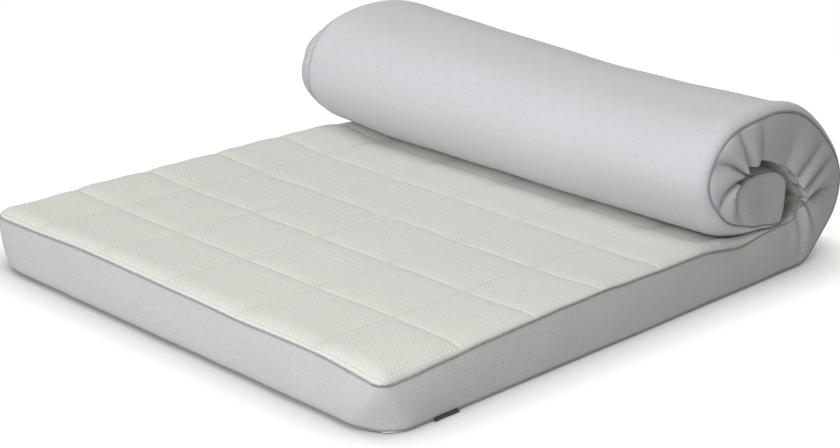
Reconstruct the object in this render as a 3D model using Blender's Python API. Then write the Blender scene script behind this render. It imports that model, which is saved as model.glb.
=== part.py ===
# Latex mattress topper, flat at one end and rolled up at the other: a quilted, zipped cover on a latex core.
# Metres, +Z up. +X runs across the topper, +Y along it from the flat end to the roll.
# The origin is on the flat underside, in the middle of the floor that the topper covers.
import math

import bpy
import bmesh

# Topper, laid flat
WIDTH = 0.900
LENGTH = 2.000
CORNER_RADIUS = 0.040
CORNER_STEPS = 3

# Layers, from the underside up
PANEL_CLOTH = 0.0018
SOCK_CLOTH = 0.0008
CORE_THICKNESS = 0.080
SCRIM_CLOTH = 0.0006
WADDING_THICKNESS = 0.004
QUILT_CLOTH = 0.0018
QUILT_CROWN = 0.008
LAYER_GAP = 0.0003

# Roll: three bends, then a tail that lies on the quilting
# The length is kept at a share of the thickness. A bend room is the radius left inside a bend.
NEUTRAL_SHARE = 0.27
FIRST_BEND_ROOM = 0.0305
FIRST_BEND_TURN = 136
BACK_BEND_TURN = 60
LAST_BEND_ROOM = 0.0046
TAIL_GAP = 0.0005
TAIL_ROOM = 0.0785

# Gathers of the cover inside each bend, and how far they stand out at the sides
BEND_FOLDS = (5, 4, 4)
FOLD_DEPTHS = (0.012, 0.004, 0.014)
SEAM_LIFT = 0.0095
SEAM_LIFT_REACH = 0.100

# Quilting: lines sewn through the top, square when the topper lies flat
QUILT_PITCH = 0.158
FIRST_LENGTHWISE_LINE = 0.126
FIRST_CROSSWISE_LINE = 0.166
LINE_MARGIN = 0.090
PILLOW_SHOULDER = 0.038
PILLOW_FULLNESS = 0.8
BEND_VALLEY = 0.4
BEND_MARGIN = 0.010

# Border and the edges that roll over to its seams
BORDER_CLOTH = 0.004
BORDER_BULGE = 0.004
PANEL_ROLL = 0.018
QUILT_ROLL = 0.036
QUILT_UNDER_ROLL = 0.020
EDGE_STEPS = 3
LOWER_SEAM = 0.006
UPPER_SEAM_DROP = 0.0081
PIPING_DIAMETER = 0.0036
PIPING_INSET = 0.0045
PIPING_SIDES = 6

# Core and its sock inside the border
SIDE_ROOM = 0.0045
LOWER_CORNER_CUT = 0.014
UPPER_CORNER_CUT = 0.008
WADDING_ROOM = 0.001

# Zip in the hidden long side
ZIP_START = 0.070
ZIP_END_ROOM = 0.030
ZIP_SLOT = 0.0092
TAPE_CLOTH = 0.0006
TAPE_LAP = 0.009
COIL_WIDTH = 0.0024
COIL_THICKNESS = 0.0023
COIL_SPLIT = 0.0014
STOP_LENGTH = 0.004
RUNNING_GAP = 0.0003

# Zip slider and its pull
SLIDER_LENGTH = 0.011
SLIDER_PLATE = 0.0014
SLIDER_BACK = 0.0012
SLIDER_LIP = 0.0008
SLIDER_WEB = 0.0008
BAIL_LENGTH = 0.007
BAIL_HEIGHT = 0.003
BAIL_WIRE = 0.001
BAIL_WIDTH = 0.0016
PULL_LENGTH = 0.026
PULL_WIDTH = 0.006
PULL_NECK = 0.0048
PULL_TIP_STEPS = 6
PULL_THICKNESS = 0.0012
PULL_WINDOW = 0.004
PULL_BAR = 0.0012
PULL_EYE_GAP = 0.0004

# Blank side tab, sewn into the lower seam near the flat end
TAB_START = 0.105
TAB_WIDTH = 0.050
TAB_REACH = 0.014
TAB_CLOTH = 0.0008
TAB_FLOOR_GAP = 0.0004

# Heights of the layers above the underside
SOCK_BASE = PANEL_CLOTH + LAYER_GAP
CORE_BASE = SOCK_BASE + SOCK_CLOTH + LAYER_GAP
CORE_TOP = CORE_BASE + CORE_THICKNESS
SOCK_TOP = CORE_TOP + LAYER_GAP + SOCK_CLOTH
SCRIM_BASE = SOCK_TOP + LAYER_GAP
SCRIM_TOP = SCRIM_BASE + SCRIM_CLOTH
WADDING_BASE = SCRIM_TOP + LAYER_GAP
WADDING_TOP = WADDING_BASE + WADDING_THICKNESS
QUILT_BASE = WADDING_TOP + LAYER_GAP
STITCH_LEVEL = QUILT_BASE + QUILT_CLOTH
THICKNESS = STITCH_LEVEL + QUILT_CROWN
NEUTRAL_DEPTH = NEUTRAL_SHARE * THICKNESS
UPPER_SEAM = STITCH_LEVEL - UPPER_SEAM_DROP
PIPING_RADIUS = PIPING_DIAMETER / 2
BORDER_BASE = LOWER_SEAM + PIPING_RADIUS + LAYER_GAP
BORDER_TOP = UPPER_SEAM - PIPING_RADIUS - LAYER_GAP
SOCK_INSET = BORDER_BULGE + BORDER_CLOTH + SIDE_ROOM
CORE_INSET = SOCK_INSET + SOCK_CLOTH + LAYER_GAP
WADDING_INSET = BORDER_BULGE + QUILT_UNDER_ROLL + WADDING_ROOM

# Path of the underside through the roll: the back bend's radius closes it onto the tail
HEADINGS = (0.0, math.radians(FIRST_BEND_TURN), math.radians(FIRST_BEND_TURN + BACK_BEND_TURN),
            2 * math.pi)
COSINES = [math.cos(heading) for heading in HEADINGS]
SINES = [math.sin(heading) for heading in HEADINGS]
FIRST_RADIUS = THICKNESS + FIRST_BEND_ROOM
LAST_RADIUS = THICKNESS + LAST_BEND_ROOM
TAIL_RISE = THICKNESS + TAIL_GAP
BACK_RADIUS = ((LAST_RADIUS * (1 - COSINES[2]) + TAIL_RISE - FIRST_RADIUS * (1 - COSINES[1]))
               / (COSINES[1] - COSINES[2]))
RADII = (FIRST_RADIUS, BACK_RADIUS, LAST_RADIUS)
BEND_RUNS = [(HEADINGS[k + 1] - HEADINGS[k]) * (RADII[k] - NEUTRAL_DEPTH) for k in range(3)]
TAIL_OFFSET = (FIRST_RADIUS - BACK_RADIUS) * SINES[1] + (BACK_RADIUS - LAST_RADIUS) * SINES[2]
TAIL_RUN = FIRST_BEND_ROOM - TAIL_ROOM - TAIL_OFFSET
FLAT_RUN = LENGTH - sum(BEND_RUNS) - TAIL_RUN
BEND_STARTS = [FLAT_RUN + sum(BEND_RUNS[:k]) for k in range(4)]
ROLL_END = BEND_STARTS[3]
FRONT_Y = -(FLAT_RUN + FIRST_RADIUS) / 2
ROLL_Y = FRONT_Y + FLAT_RUN

# Zip heights and places
ZIP_HEIGHT = (BORDER_BASE + BORDER_TOP) / 2
ZIP_END = FLAT_RUN - ZIP_END_ROOM
COIL_START = ZIP_START + STOP_LENGTH + 2 * LAYER_GAP
COIL_END = ZIP_END - STOP_LENGTH - 2 * LAYER_GAP
TAPE_FRONT = BORDER_CLOTH + LAYER_GAP
COIL_BACK = TAPE_FRONT - LAYER_GAP
SLIDER_REST = COIL_START + SLIDER_LENGTH / 2 + RUNNING_GAP
SLIDER_TRAVEL = COIL_END - COIL_START - SLIDER_LENGTH - 2 * RUNNING_GAP


def bend_centre(bend):
    """Y and Z of the centre that a bend turns about."""
    y = ROLL_Y
    z = RADII[0]
    for k in range(1, bend + 1):
        y += (RADII[k - 1] - RADII[k]) * SINES[k]
        z -= (RADII[k - 1] - RADII[k]) * COSINES[k]
    return y, z


def bend_at(s):
    """Which bend a distance along the topper falls in, or None on the flat and on the tail."""
    for k in range(3):
        if BEND_STARTS[k] < s <= BEND_STARTS[k + 1]:
            return k
    return None


def along(s, n):
    """Y and Z of a point at distance s along the topper and n above its underside."""
    if s <= FLAT_RUN:
        return FRONT_Y + s, n
    bend = bend_at(s)
    if bend is None:
        y, z = bend_centre(2)
        return y + s - ROLL_END, z - LAST_RADIUS + n
    y, z = bend_centre(bend)
    heading = HEADINGS[bend] + (s - BEND_STARTS[bend]) / (RADII[bend] - NEUTRAL_DEPTH)
    radius = RADII[bend] - n
    return y + radius * math.sin(heading), z - radius * math.cos(heading)


def place(x, s, n):
    """Point of the bent topper, with its plan corners rounded."""
    a = CORNER_RADIUS - (WIDTH / 2 - abs(x))
    b = CORNER_RADIUS - min(s, LENGTH - s)
    if a > 0 and b > 0:
        share = max(a, b) / math.hypot(a, b)
        x = math.copysign(WIDTH / 2 - CORNER_RADIUS + a * share, x)
        pull = b - b * share
        s = s + pull if s < LENGTH / 2 else s - pull
    y, z = along(s, n)
    return x, y, z


def fold(s):
    """0 in the valleys and 1 on the crests of the gathers that the bend makes, with their depth."""
    bend = bend_at(s)
    if bend is None:
        return 0.0, 0.0
    share = (s - BEND_STARTS[bend]) / BEND_RUNS[bend]
    return 0.5 - 0.5 * math.cos(2 * math.pi * BEND_FOLDS[bend] * share), FOLD_DEPTHS[bend]


def flare(inset, s, n):
    """How far the gathered side stands out: most at the squeezed inner face, nothing at the core."""
    wave, depth = fold(s)
    inner_face = BORDER_BULGE + BORDER_CLOTH
    reach = 1 - max(0.0, inset - inner_face) / (QUILT_ROLL - BORDER_CLOTH)
    return depth * wave * (n / THICKNESS) ** 2 * max(0.0, reach)


def lifted(inset, s, n):
    """Height of the cover's side: in the roll its lower seam is drawn in towards the core."""
    share = min(1.0, max(0.0, (s - FLAT_RUN) / SEAM_LIFT_REACH))
    lift = SEAM_LIFT * (0.5 - 0.5 * math.cos(math.pi * share))
    if n <= LOWER_SEAM:
        rim = min(1.0, max(0.0, 1 - (inset - BORDER_BULGE) / PANEL_ROLL))
        return n + lift * rim * n / LOWER_SEAM
    return n + lift * max(0.0, UPPER_SEAM - n) / (UPPER_SEAM - LOWER_SEAM)


def bend_stations():
    """Stations along the length where smooth layers need an edge."""
    corner = [CORNER_RADIUS * (1 - math.tan(math.pi / 4 * (1 - k / CORNER_STEPS)))
              for k in range(CORNER_STEPS + 1)]
    bends = [FLAT_RUN]
    for start, run, folds in zip(BEND_STARTS, BEND_RUNS, BEND_FOLDS):
        bends += [start + run * k / (2 * folds) for k in range(1, 2 * folds + 1)]
    return corner, corner + bends + [LENGTH - c for c in reversed(corner)]


CORNER, STATIONS = bend_stations()


def squeeze(t, inset, span):
    """A station near a corner, moved in with its layer so that all layers turn at the same angles."""
    if t < CORNER_RADIUS:
        return inset + t * (CORNER_RADIUS - inset) / CORNER_RADIUS
    if t > span - CORNER_RADIUS:
        return span - inset - (span - t) * (CORNER_RADIUS - inset) / CORNER_RADIUS
    return t


def ring(zip_stations=False):
    """Stations round the topper's outline: right side, rolled end, left side, flat end."""
    ends = CORNER[1:] + [WIDTH - c for c in reversed(CORNER[1:])]
    left = sorted(STATIONS + [ZIP_START, ZIP_END]) if zip_stations else STATIONS
    points = [("right", s) for s in STATIONS]
    points += [("rolled", t) for t in ends]
    points += [("left", s) for s in reversed(left)]
    points += [("flat", t) for t in reversed(ends)]
    return points


def ring_point(side, t, inset, n, gathered):
    """Where a station of the outline lies, for a layer set in from it by inset."""
    if side in ("right", "left"):
        s = squeeze(t, inset, LENGTH)
        out = WIDTH / 2 - inset
        if gathered:
            out += flare(inset, s, n)
            n = lifted(inset, s, n)
        return place(out if side == "right" else -out, s, n)
    x = WIDTH / 2 - squeeze(t, inset, WIDTH)
    s = LENGTH - inset if side == "rolled" else inset
    return place(x, s, lifted(inset, s, n) if gathered else n)


def material(name, srgb, roughness, metallic=0.0):
    """A plain finish in the colour that the photograph shows."""
    finish = bpy.data.materials.new(name)
    finish.use_nodes = True
    shader = finish.node_tree.nodes["Principled BSDF"]
    linear = [((c / 255 + 0.055) / 1.055) ** 2.4 if c > 10 else c / 255 / 12.92 for c in srgb]
    shader.inputs["Base Color"].default_value = (*linear, 1.0)
    shader.inputs["Roughness"].default_value = roughness
    shader.inputs["Metallic"].default_value = metallic
    finish.diffuse_color = (*linear, 1.0)
    return finish


def add_object(name, bm, finish, smooth_angle=35):
    """Turn a bmesh into a named, closed, outward-facing object."""
    bmesh.ops.recalc_face_normals(bm, faces=bm.faces)
    if bm.calc_volume(signed=True) < 0:
        bmesh.ops.reverse_faces(bm, faces=bm.faces)
    mesh = bpy.data.meshes.new(name)
    bm.to_mesh(mesh)
    bm.free()
    mesh.shade_smooth()
    mesh.set_sharp_from_angle(angle=math.radians(smooth_angle))
    mesh.materials.append(finish)
    piece = bpy.data.objects.new(name, mesh)
    bpy.context.collection.objects.link(piece)
    return piece


def stitch(bm, row_a, row_b):
    """Join two rows of (key, vertex) pairs by quads where their keys match and triangles elsewhere."""
    i = 0
    j = 0
    while i < len(row_a) - 1 or j < len(row_b) - 1:
        next_a = row_a[i + 1][0] if i < len(row_a) - 1 else math.inf
        next_b = row_b[j + 1][0] if j < len(row_b) - 1 else math.inf
        corners = [row_a[i][1]]
        if next_a < next_b + 1e-6:
            i += 1
            corners.append(row_a[i][1])
        last_b = row_b[j][1]
        if next_b < next_a + 1e-6:
            j += 1
            corners.append(row_b[j][1])
        corners.append(last_b)
        bm.faces.new(corners)


def cap(bm, points, loop):
    """Close a layer across its width: one strip for each step of the length, and a face at each end."""
    rows = {}
    for (side, t), vert in zip(points, loop):
        if side in ("right", "left") and CORNER_RADIUS - 1e-9 < t < LENGTH - CORNER_RADIUS + 1e-9:
            rows.setdefault(round(t, 9), {})[side] = vert
    pairs = [rows[key] for key in sorted(rows) if len(rows[key]) == 2]
    for near, far in zip(pairs, pairs[1:]):
        bm.faces.new((near["right"], far["right"], far["left"], near["left"]))
    count = len(loop)
    first = loop.index(pairs[0]["left"])
    last = loop.index(pairs[0]["right"]) + count
    bm.faces.new([loop[k % count] for k in range(first, last + 1)])
    bm.faces.new(loop[loop.index(pairs[-1]["right"]):loop.index(pairs[-1]["left"]) + 1])


def ring_layer(bm, points, levels, gathered, closed=False, capped=False, gaps=(), slot=None):
    """Loops of vertices round the outline, one for each (inset, height) level, joined into walls.

    A slot cuts through a wall of eight levels, between two outside and the two that lie behind them.
    """
    outer_low, outer_high, inner_high, inner_low = (1, 2, 5, 6)
    loops = [[bm.verts.new(ring_point(side, t, inset, n, gathered)) for side, t in points]
             for inset, n in levels]
    count = len(points)
    slot_steps = range(*slot) if slot else ()
    for level in range(len(levels) if closed else len(levels) - 1):
        if level in gaps:
            continue
        low = loops[level]
        high = loops[(level + 1) % len(levels)]
        for k in range(count):
            if level in (outer_low, inner_high) and k in slot_steps:
                continue
            m = (k + 1) % count
            bm.faces.new((low[k], low[m], high[m], high[k]))
    if slot:
        a, b, c, d = (loops[level] for level in (outer_low, outer_high, inner_high, inner_low))
        for k in slot_steps:
            bm.faces.new((a[k], d[k], d[k + 1], a[k + 1]))
            bm.faces.new((b[k], b[k + 1], c[k + 1], c[k]))
        for k in slot:
            bm.faces.new((a[k], b[k], c[k], d[k]))
    if capped:
        cap(bm, points, loops[0])
        cap(bm, points, loops[-1])
    return loops


def rolled_edge(reach, rise, cloth):
    """Outer and inner (inset, height) points of cloth that curves up from the flat to its seam."""
    outer = []
    inner = []
    for k in range(EDGE_STEPS + 1):
        turn = math.pi / 2 * k / EDGE_STEPS
        outer.append((BORDER_BULGE + reach * (1 - math.sin(turn)), rise * (1 - math.cos(turn))))
        inner.append((BORDER_BULGE + cloth + (reach - cloth) * (1 - math.sin(turn)),
                      cloth + (rise - cloth) * (1 - math.cos(turn))))
    return outer, inner


def cut_corner_section(inset, base, top, lower_cut, upper_cut):
    """Side of a slab whose lower and upper corners the cover presses round."""
    return [(inset + lower_cut, base), (inset, base + lower_cut),
            (inset, top - upper_cut), (inset + upper_cut, top)]


def make_core(finish):
    bm = bmesh.new()
    levels = cut_corner_section(CORE_INSET, CORE_BASE, CORE_TOP, LOWER_CORNER_CUT, UPPER_CORNER_CUT)
    ring_layer(bm, ring(), levels, gathered=False, capped=True)
    return add_object("latex_core", bm, finish)


def make_sock(finish):
    """A thin sleeve round the core, open along the straight of the rolled end."""
    bm = bmesh.new()
    outer = cut_corner_section(SOCK_INSET, SOCK_BASE, SOCK_TOP, LOWER_CORNER_CUT, UPPER_CORNER_CUT)
    room = SOCK_CLOTH
    inner = cut_corner_section(SOCK_INSET + room, SOCK_BASE + room, SOCK_TOP - room,
                               LOWER_CORNER_CUT, UPPER_CORNER_CUT)
    points = ring()
    opening = points.index(("rolled", CORNER_RADIUS))
    loops = ring_layer(bm, points, outer + inner[::-1], gathered=False, capped=True,
                       gaps=(3,), slot=(opening, opening + 1))
    cap(bm, points, loops[3])
    cap(bm, points, loops[4])
    return add_object("core_sock", bm, finish)


def make_slab(name, base, top, finish):
    """A flat sheet under the quilted face, held in by the stitching."""
    bm = bmesh.new()
    levels = [(WADDING_INSET, base), (WADDING_INSET, top)]
    ring_layer(bm, ring(), levels, gathered=False, capped=True)
    return add_object(name, bm, finish)


def make_bottom_panel(finish):
    bm = bmesh.new()
    rise = LOWER_SEAM - PIPING_RADIUS - LAYER_GAP
    outer, inner = rolled_edge(PANEL_ROLL, rise, PANEL_CLOTH)
    ring_layer(bm, ring(), outer + inner[::-1], gathered=True, capped=True)
    return add_object("bottom_panel", bm, finish)


def make_piping(name, height, finish):
    bm = bmesh.new()
    levels = []
    for k in range(PIPING_SIDES):
        turn = 2 * math.pi * (k + 0.5) / PIPING_SIDES
        levels.append((PIPING_INSET + PIPING_RADIUS * math.cos(turn),
                       height + PIPING_RADIUS * math.sin(turn)))
    ring_layer(bm, ring(), levels, gathered=True, closed=True)
    return add_object(name, bm, finish, smooth_angle=80)


def border_inset(n):
    """The border's outer face: widest at the zip, drawn in towards its two seams."""
    half = ZIP_SLOT / 2
    reach = (BORDER_TOP - BORDER_BASE) / 2 - half
    return BORDER_BULGE * max(0.0, abs(n - ZIP_HEIGHT) - half) / reach


def make_border(finish):
    bm = bmesh.new()
    heights = [BORDER_BASE, ZIP_HEIGHT - ZIP_SLOT / 2, ZIP_HEIGHT + ZIP_SLOT / 2, BORDER_TOP]
    outer = [(border_inset(n), n) for n in heights]
    inner = [(border_inset(n) + BORDER_CLOTH, n) for n in heights]
    points = ring(zip_stations=True)
    slot = (points.index(("left", ZIP_END)), points.index(("left", ZIP_START)))
    ring_layer(bm, points, outer + inner[::-1], gathered=True, closed=True, slot=slot)
    return add_object("mesh_border", bm, finish)


def line_places(first, pitch, end):
    """Places of the quilting lines between a first one and a margin before the end."""
    count = int((end - LINE_MARGIN - first) / pitch) + 1
    return [first + pitch * k for k in range(count)]


LENGTHWISE_LINES = [x - WIDTH / 2 for x in line_places(FIRST_LENGTHWISE_LINE, QUILT_PITCH, WIDTH)]
CROSSWISE_LINES = line_places(FIRST_CROSSWISE_LINE, QUILT_PITCH, LENGTH)


def pillow(value, lines):
    """0 on a quilting line, 1 from a shoulder's distance on."""
    nearest = min(abs(value - line) for line in lines)
    return math.sin(math.pi / 2 * min(1.0, nearest / PILLOW_SHOULDER)) ** PILLOW_FULLNESS


def quilt_height(x, s, inset):
    """Top of the quilting: pillows between the lines, gathers in the bends, rolled edges."""
    if FLAT_RUN <= s <= ROLL_END:
        relief = QUILT_CROWN * (BEND_VALLEY + (1 - BEND_VALLEY) * fold(s)[0])
    else:
        relief = QUILT_CROWN * pillow(x, LENGTHWISE_LINES) * pillow(s, CROSSWISE_LINES)
    top = STITCH_LEVEL + relief
    rim = UPPER_SEAM + PIPING_RADIUS + LAYER_GAP
    turn = max(0.0, 1 - (inset - BORDER_BULGE) / QUILT_ROLL)
    return rim + (top - rim) * math.sqrt(max(0.0, 1 - turn * turn))


def edge_lines():
    """Distances in from the outline where the quilted face has a line."""
    return [BORDER_BULGE + QUILT_ROLL * (1 - math.sin(math.pi / 2 * k / EDGE_STEPS))
            for k in range(EDGE_STEPS, -1, -1)]


def tidy(values):
    """Sorted values with near doubles dropped."""
    least_step = QUILT_CLOTH
    kept = []
    for value in sorted(values):
        if not kept or value - kept[-1] > least_step:
            kept.append(value)
    return kept


def with_shoulders(lines):
    return [line + step for line in lines for step in (-PILLOW_SHOULDER, 0.0, PILLOW_SHOULDER)]


def make_quilt(finish):
    """The quilted face: a relief of pillows above, a plain underside, and a rim on the piping."""
    bm = bmesh.new()
    edges = edge_lines()
    sides = [WIDTH / 2 - d for d in edges]
    full = tidy([-x for x in sides] + sides + with_shoulders(LENGTHWISE_LINES))
    lean = tidy([-x for x in sides] + sides)
    crosswise = [s for s in with_shoulders(CROSSWISE_LINES)
                 if s < FLAT_RUN - BEND_MARGIN or s > ROLL_END + BEND_MARGIN]
    bends = [s for s in STATIONS if CORNER_RADIUS < s < LENGTH - CORNER_RADIUS]
    stations = tidy(edges + [LENGTH - d for d in edges] + crosswise + bends)
    rows = []
    for s in stations:
        row = []
        for x in (lean if FLAT_RUN - 1e-6 < s < ROLL_END + 1e-6 else full):
            inset = min(WIDTH / 2 - abs(x), s, LENGTH - s)
            n = quilt_height(x, s, inset)
            out = abs(x) + flare(WIDTH / 2 - abs(x), s, n)
            row.append((x, bm.verts.new(place(math.copysign(out, x), s, n))))
        rows.append((s, row))
    for (_, near), (_, far) in zip(rows, rows[1:]):
        stitch(bm, near, far)
    rim = UPPER_SEAM + PIPING_RADIUS + LAYER_GAP
    levels = []
    reach = QUILT_UNDER_ROLL - QUILT_CLOTH
    for k in range(EDGE_STEPS + 1):
        turn = math.pi / 2 * k / EDGE_STEPS
        levels.append((BORDER_BULGE + QUILT_CLOTH + reach * (1 - math.sin(turn)),
                       QUILT_BASE - (QUILT_BASE - rim) * (1 - math.cos(turn))))
    points = ring()
    loops = ring_layer(bm, points, levels, gathered=True)
    cap(bm, points, loops[0])
    join_rim(bm, points, loops[-1], levels[-1][0], rows)
    return add_object("top_quilt", bm, finish, smooth_angle=60)


def join_rim(bm, points, loop, inset, rows):
    """Close the quilt's rim between its relief and its underside, one side of the outline at a time."""
    under = {"right": [], "left": [], "rolled": [], "flat": []}
    for (side, t), vert in zip(points, loop):
        if side in ("right", "left"):
            under[side].append((squeeze(t, inset, LENGTH), vert))
        else:
            under[side].append((WIDTH / 2 - squeeze(t, inset, WIDTH), vert))
    corners = {side: (min(under[side])[1], max(under[side])[1]) for side in ("right", "left")}
    edge = WIDTH / 2 - inset
    under["flat"] += [(edge, corners["right"][0]), (-edge, corners["left"][0])]
    under["rolled"] += [(edge, corners["right"][1]), (-edge, corners["left"][1])]
    over = {"right": [(s, row[-1][1]) for s, row in rows], "left": [(s, row[0][1]) for s, row in rows],
            "flat": rows[0][1], "rolled": rows[-1][1]}
    for side in over:
        stitch(bm, over[side], sorted(under[side], key=lambda pair: pair[0]))


def left_side(inset, s, n):
    """A point by the zip, on the straight of the left long side."""
    return -WIDTH / 2 + inset, FRONT_Y + s, n


def straight_strip(name, profile, start, end, finish, smooth_angle=35):
    """A strip of constant section along the zip."""
    bm = bmesh.new()
    near = [bm.verts.new(left_side(inset, start, n)) for inset, n in profile]
    far = [bm.verts.new(left_side(inset, end, n)) for inset, n in profile]
    count = len(profile)
    for k in range(count):
        m = (k + 1) % count
        bm.faces.new((near[k], near[m], far[m], far[k]))
    bm.faces.new(near)
    bm.faces.new(far)
    return add_object(name, bm, finish, smooth_angle)


def make_zip(tape_finish, coil_finish, metal):
    """Two tapes behind the slot, their coils in it, and a stop at each end."""
    slot_edge = ZIP_SLOT / 2
    lap = slot_edge + TAPE_LAP
    split = COIL_SPLIT / 2
    for name, up in (("upper", 1), ("lower", -1)):
        heights = [ZIP_HEIGHT + up * w for w in (split, slot_edge, lap)]
        front = [(TAPE_FRONT + border_inset(n), n) for n in heights]
        back = [(inset + TAPE_CLOTH, n) for inset, n in front]
        straight_strip("zip_tape_" + name, front + back[::-1], ZIP_START, ZIP_END, tape_finish)
        rounding = COIL_THICKNESS / 4
        front_face = COIL_BACK - COIL_THICKNESS
        outline = [(COIL_BACK, split), (front_face + rounding, split),
                   (front_face, split + rounding), (front_face, split + COIL_WIDTH - rounding),
                   (front_face + rounding, split + COIL_WIDTH), (COIL_BACK, split + COIL_WIDTH)]
        profile = [(inset, ZIP_HEIGHT + up * w) for inset, w in outline]
        straight_strip("zip_coil_" + name, profile, COIL_START, COIL_END, coil_finish)
    half = split + COIL_WIDTH
    stop = [(COIL_BACK - COIL_THICKNESS, ZIP_HEIGHT - half), (COIL_BACK, ZIP_HEIGHT - half),
            (COIL_BACK, ZIP_HEIGHT + half), (COIL_BACK - COIL_THICKNESS, ZIP_HEIGHT + half)]
    straight_strip("zip_front_stop", stop, COIL_START - LAYER_GAP - STOP_LENGTH,
                   COIL_START - LAYER_GAP, metal)
    straight_strip("zip_rear_stop", stop, COIL_END + LAYER_GAP, COIL_END + LAYER_GAP + STOP_LENGTH,
                   metal)


def extrude_profile(bm, profile, start, end):
    """Close a flat outline in the X and Z of the slider into a bar along its Y."""
    near = [bm.verts.new((out, start, up)) for out, up in profile]
    far = [bm.verts.new((out, end, up)) for out, up in profile]
    for k in range(len(profile)):
        m = (k + 1) % len(profile)
        bm.faces.new((near[k], near[m], far[m], far[k]))
    bm.faces.new(near)
    bm.faces.new(far)


def make_slider(metal):
    """Front plate with lips round the coils, a web between them and a plate behind the tapes."""
    lip_in = COIL_SPLIT / 2 + COIL_WIDTH + RUNNING_GAP
    lip_out = lip_in + SLIDER_LIP
    web = SLIDER_WEB / 2
    plate_back = -(COIL_BACK - COIL_THICKNESS - RUNNING_GAP)
    plate_front = plate_back + SLIDER_PLATE
    lip_end = -COIL_BACK
    back_front = -(TAPE_FRONT + TAPE_CLOTH + RUNNING_GAP)
    back_back = back_front - SLIDER_BACK
    half = [(plate_front, lip_out), (lip_end, lip_out), (lip_end, lip_in), (plate_back, lip_in),
            (plate_back, web), (back_front, web), (back_front, lip_out), (back_back, lip_out)]
    profile = half + [(out, -up) for out, up in reversed(half)]
    bm = bmesh.new()
    extrude_profile(bm, profile, -SLIDER_LENGTH / 2, SLIDER_LENGTH / 2)
    slider = add_object("zip_slider", bm, metal)
    bail_mesh = bmesh.new()
    reach = BAIL_LENGTH / 2
    wire = BAIL_WIRE
    foot = plate_front - SLIDER_PLATE / 2
    top = plate_front + BAIL_HEIGHT
    arch = [(foot, -reach), (top - wire, -reach), (top, -reach + wire), (top, reach - wire),
            (top - wire, reach), (foot, reach), (foot, reach - wire), (top - wire, reach - wire),
            (top - wire, -reach + wire), (foot, -reach + wire)]
    near = [bail_mesh.verts.new((out, y, -BAIL_WIDTH / 2)) for out, y in arch]
    far = [bail_mesh.verts.new((out, y, BAIL_WIDTH / 2)) for out, y in arch]
    for k in range(len(arch)):
        m = (k + 1) % len(arch)
        bail_mesh.faces.new((near[k], near[m], far[m], far[k]))
    bail_mesh.faces.new(near)
    bail_mesh.faces.new(far)
    bail = add_object("bail_shape", bail_mesh, metal)
    bail.hide_render = True
    bail.display_type = "WIRE"
    join = slider.modifiers.new("bail", "BOOLEAN")
    join.operation = "UNION"
    join.solver = "EXACT"
    join.object = bail
    for piece in (slider, bail):
        piece.location = left_side(0.0, SLIDER_REST, ZIP_HEIGHT)
        piece.rotation_euler = (0.0, 0.0, math.pi)
    return plate_front


def make_pull(plate_front, metal):
    """A tab whose end bar lies under the slider's bail, turning on a line across the zip."""
    bar = PULL_BAR / 2
    window_end = bar + PULL_WINDOW
    eye = BAIL_WIDTH / 2 + PULL_EYE_GAP
    half = PULL_WIDTH / 2
    neck = PULL_NECK / 2
    tip = PULL_LENGTH - half
    turns = [math.pi * k / PULL_TIP_STEPS for k in range(PULL_TIP_STEPS + 1)]
    bm = bmesh.new()
    outline = [(-bar, -neck), (-bar, neck), (window_end, neck)]
    outline += [(tip + half * math.sin(turn), half * math.cos(turn)) for turn in turns]
    outline += [(window_end, -neck)]
    window = [(bar, -eye), (bar, eye), (window_end, eye), (window_end, -eye)]
    skins = []
    for out in (-PULL_THICKNESS / 2, PULL_THICKNESS / 2):
        rim = [bm.verts.new((out, y, z)) for y, z in outline]
        hole = [bm.verts.new((out, y, z)) for y, z in window]
        skins.append((rim, hole))
        bm.faces.new((rim[0], rim[1], hole[1], hole[0]))
        bm.faces.new((rim[1], rim[2], hole[2], hole[1]))
        bm.faces.new((rim[-1], hole[3], hole[2], rim[2], *rim[3:-1]))
        bm.faces.new((rim[-1], rim[0], hole[0], hole[3]))
    for low, high in zip(skins[0], skins[1]):
        for k in range(len(low)):
            m = (k + 1) % len(low)
            bm.faces.new((low[k], low[m], high[m], high[k]))
    pull = add_object("zip_pull", bm, metal)
    bar_height = plate_front + (BAIL_HEIGHT - BAIL_WIRE) / 2
    pull.location = left_side(-bar_height, SLIDER_REST, ZIP_HEIGHT)


def make_tab(finish):
    """A blank woven tab that leans out from the lower seam on the right long side to the floor."""
    seam = WIDTH / 2 - PIPING_INSET + PIPING_RADIUS + LAYER_GAP
    start = FRONT_Y + TAB_START
    section = [(seam, LOWER_SEAM - TAB_CLOTH / 2), (seam + TAB_REACH, TAB_FLOOR_GAP),
               (seam + TAB_REACH, TAB_FLOOR_GAP + TAB_CLOTH), (seam, LOWER_SEAM + TAB_CLOTH / 2)]
    bm = bmesh.new()
    near = [bm.verts.new((x, start, z)) for x, z in section]
    far = [bm.verts.new((x, start + TAB_WIDTH, z)) for x, z in section]
    for k in range(len(section)):
        m = (k + 1) % len(section)
        bm.faces.new((near[k], near[m], far[m], far[k]))
    bm.faces.new(near)
    bm.faces.new(far)
    return add_object("side_tab", bm, finish)


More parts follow.
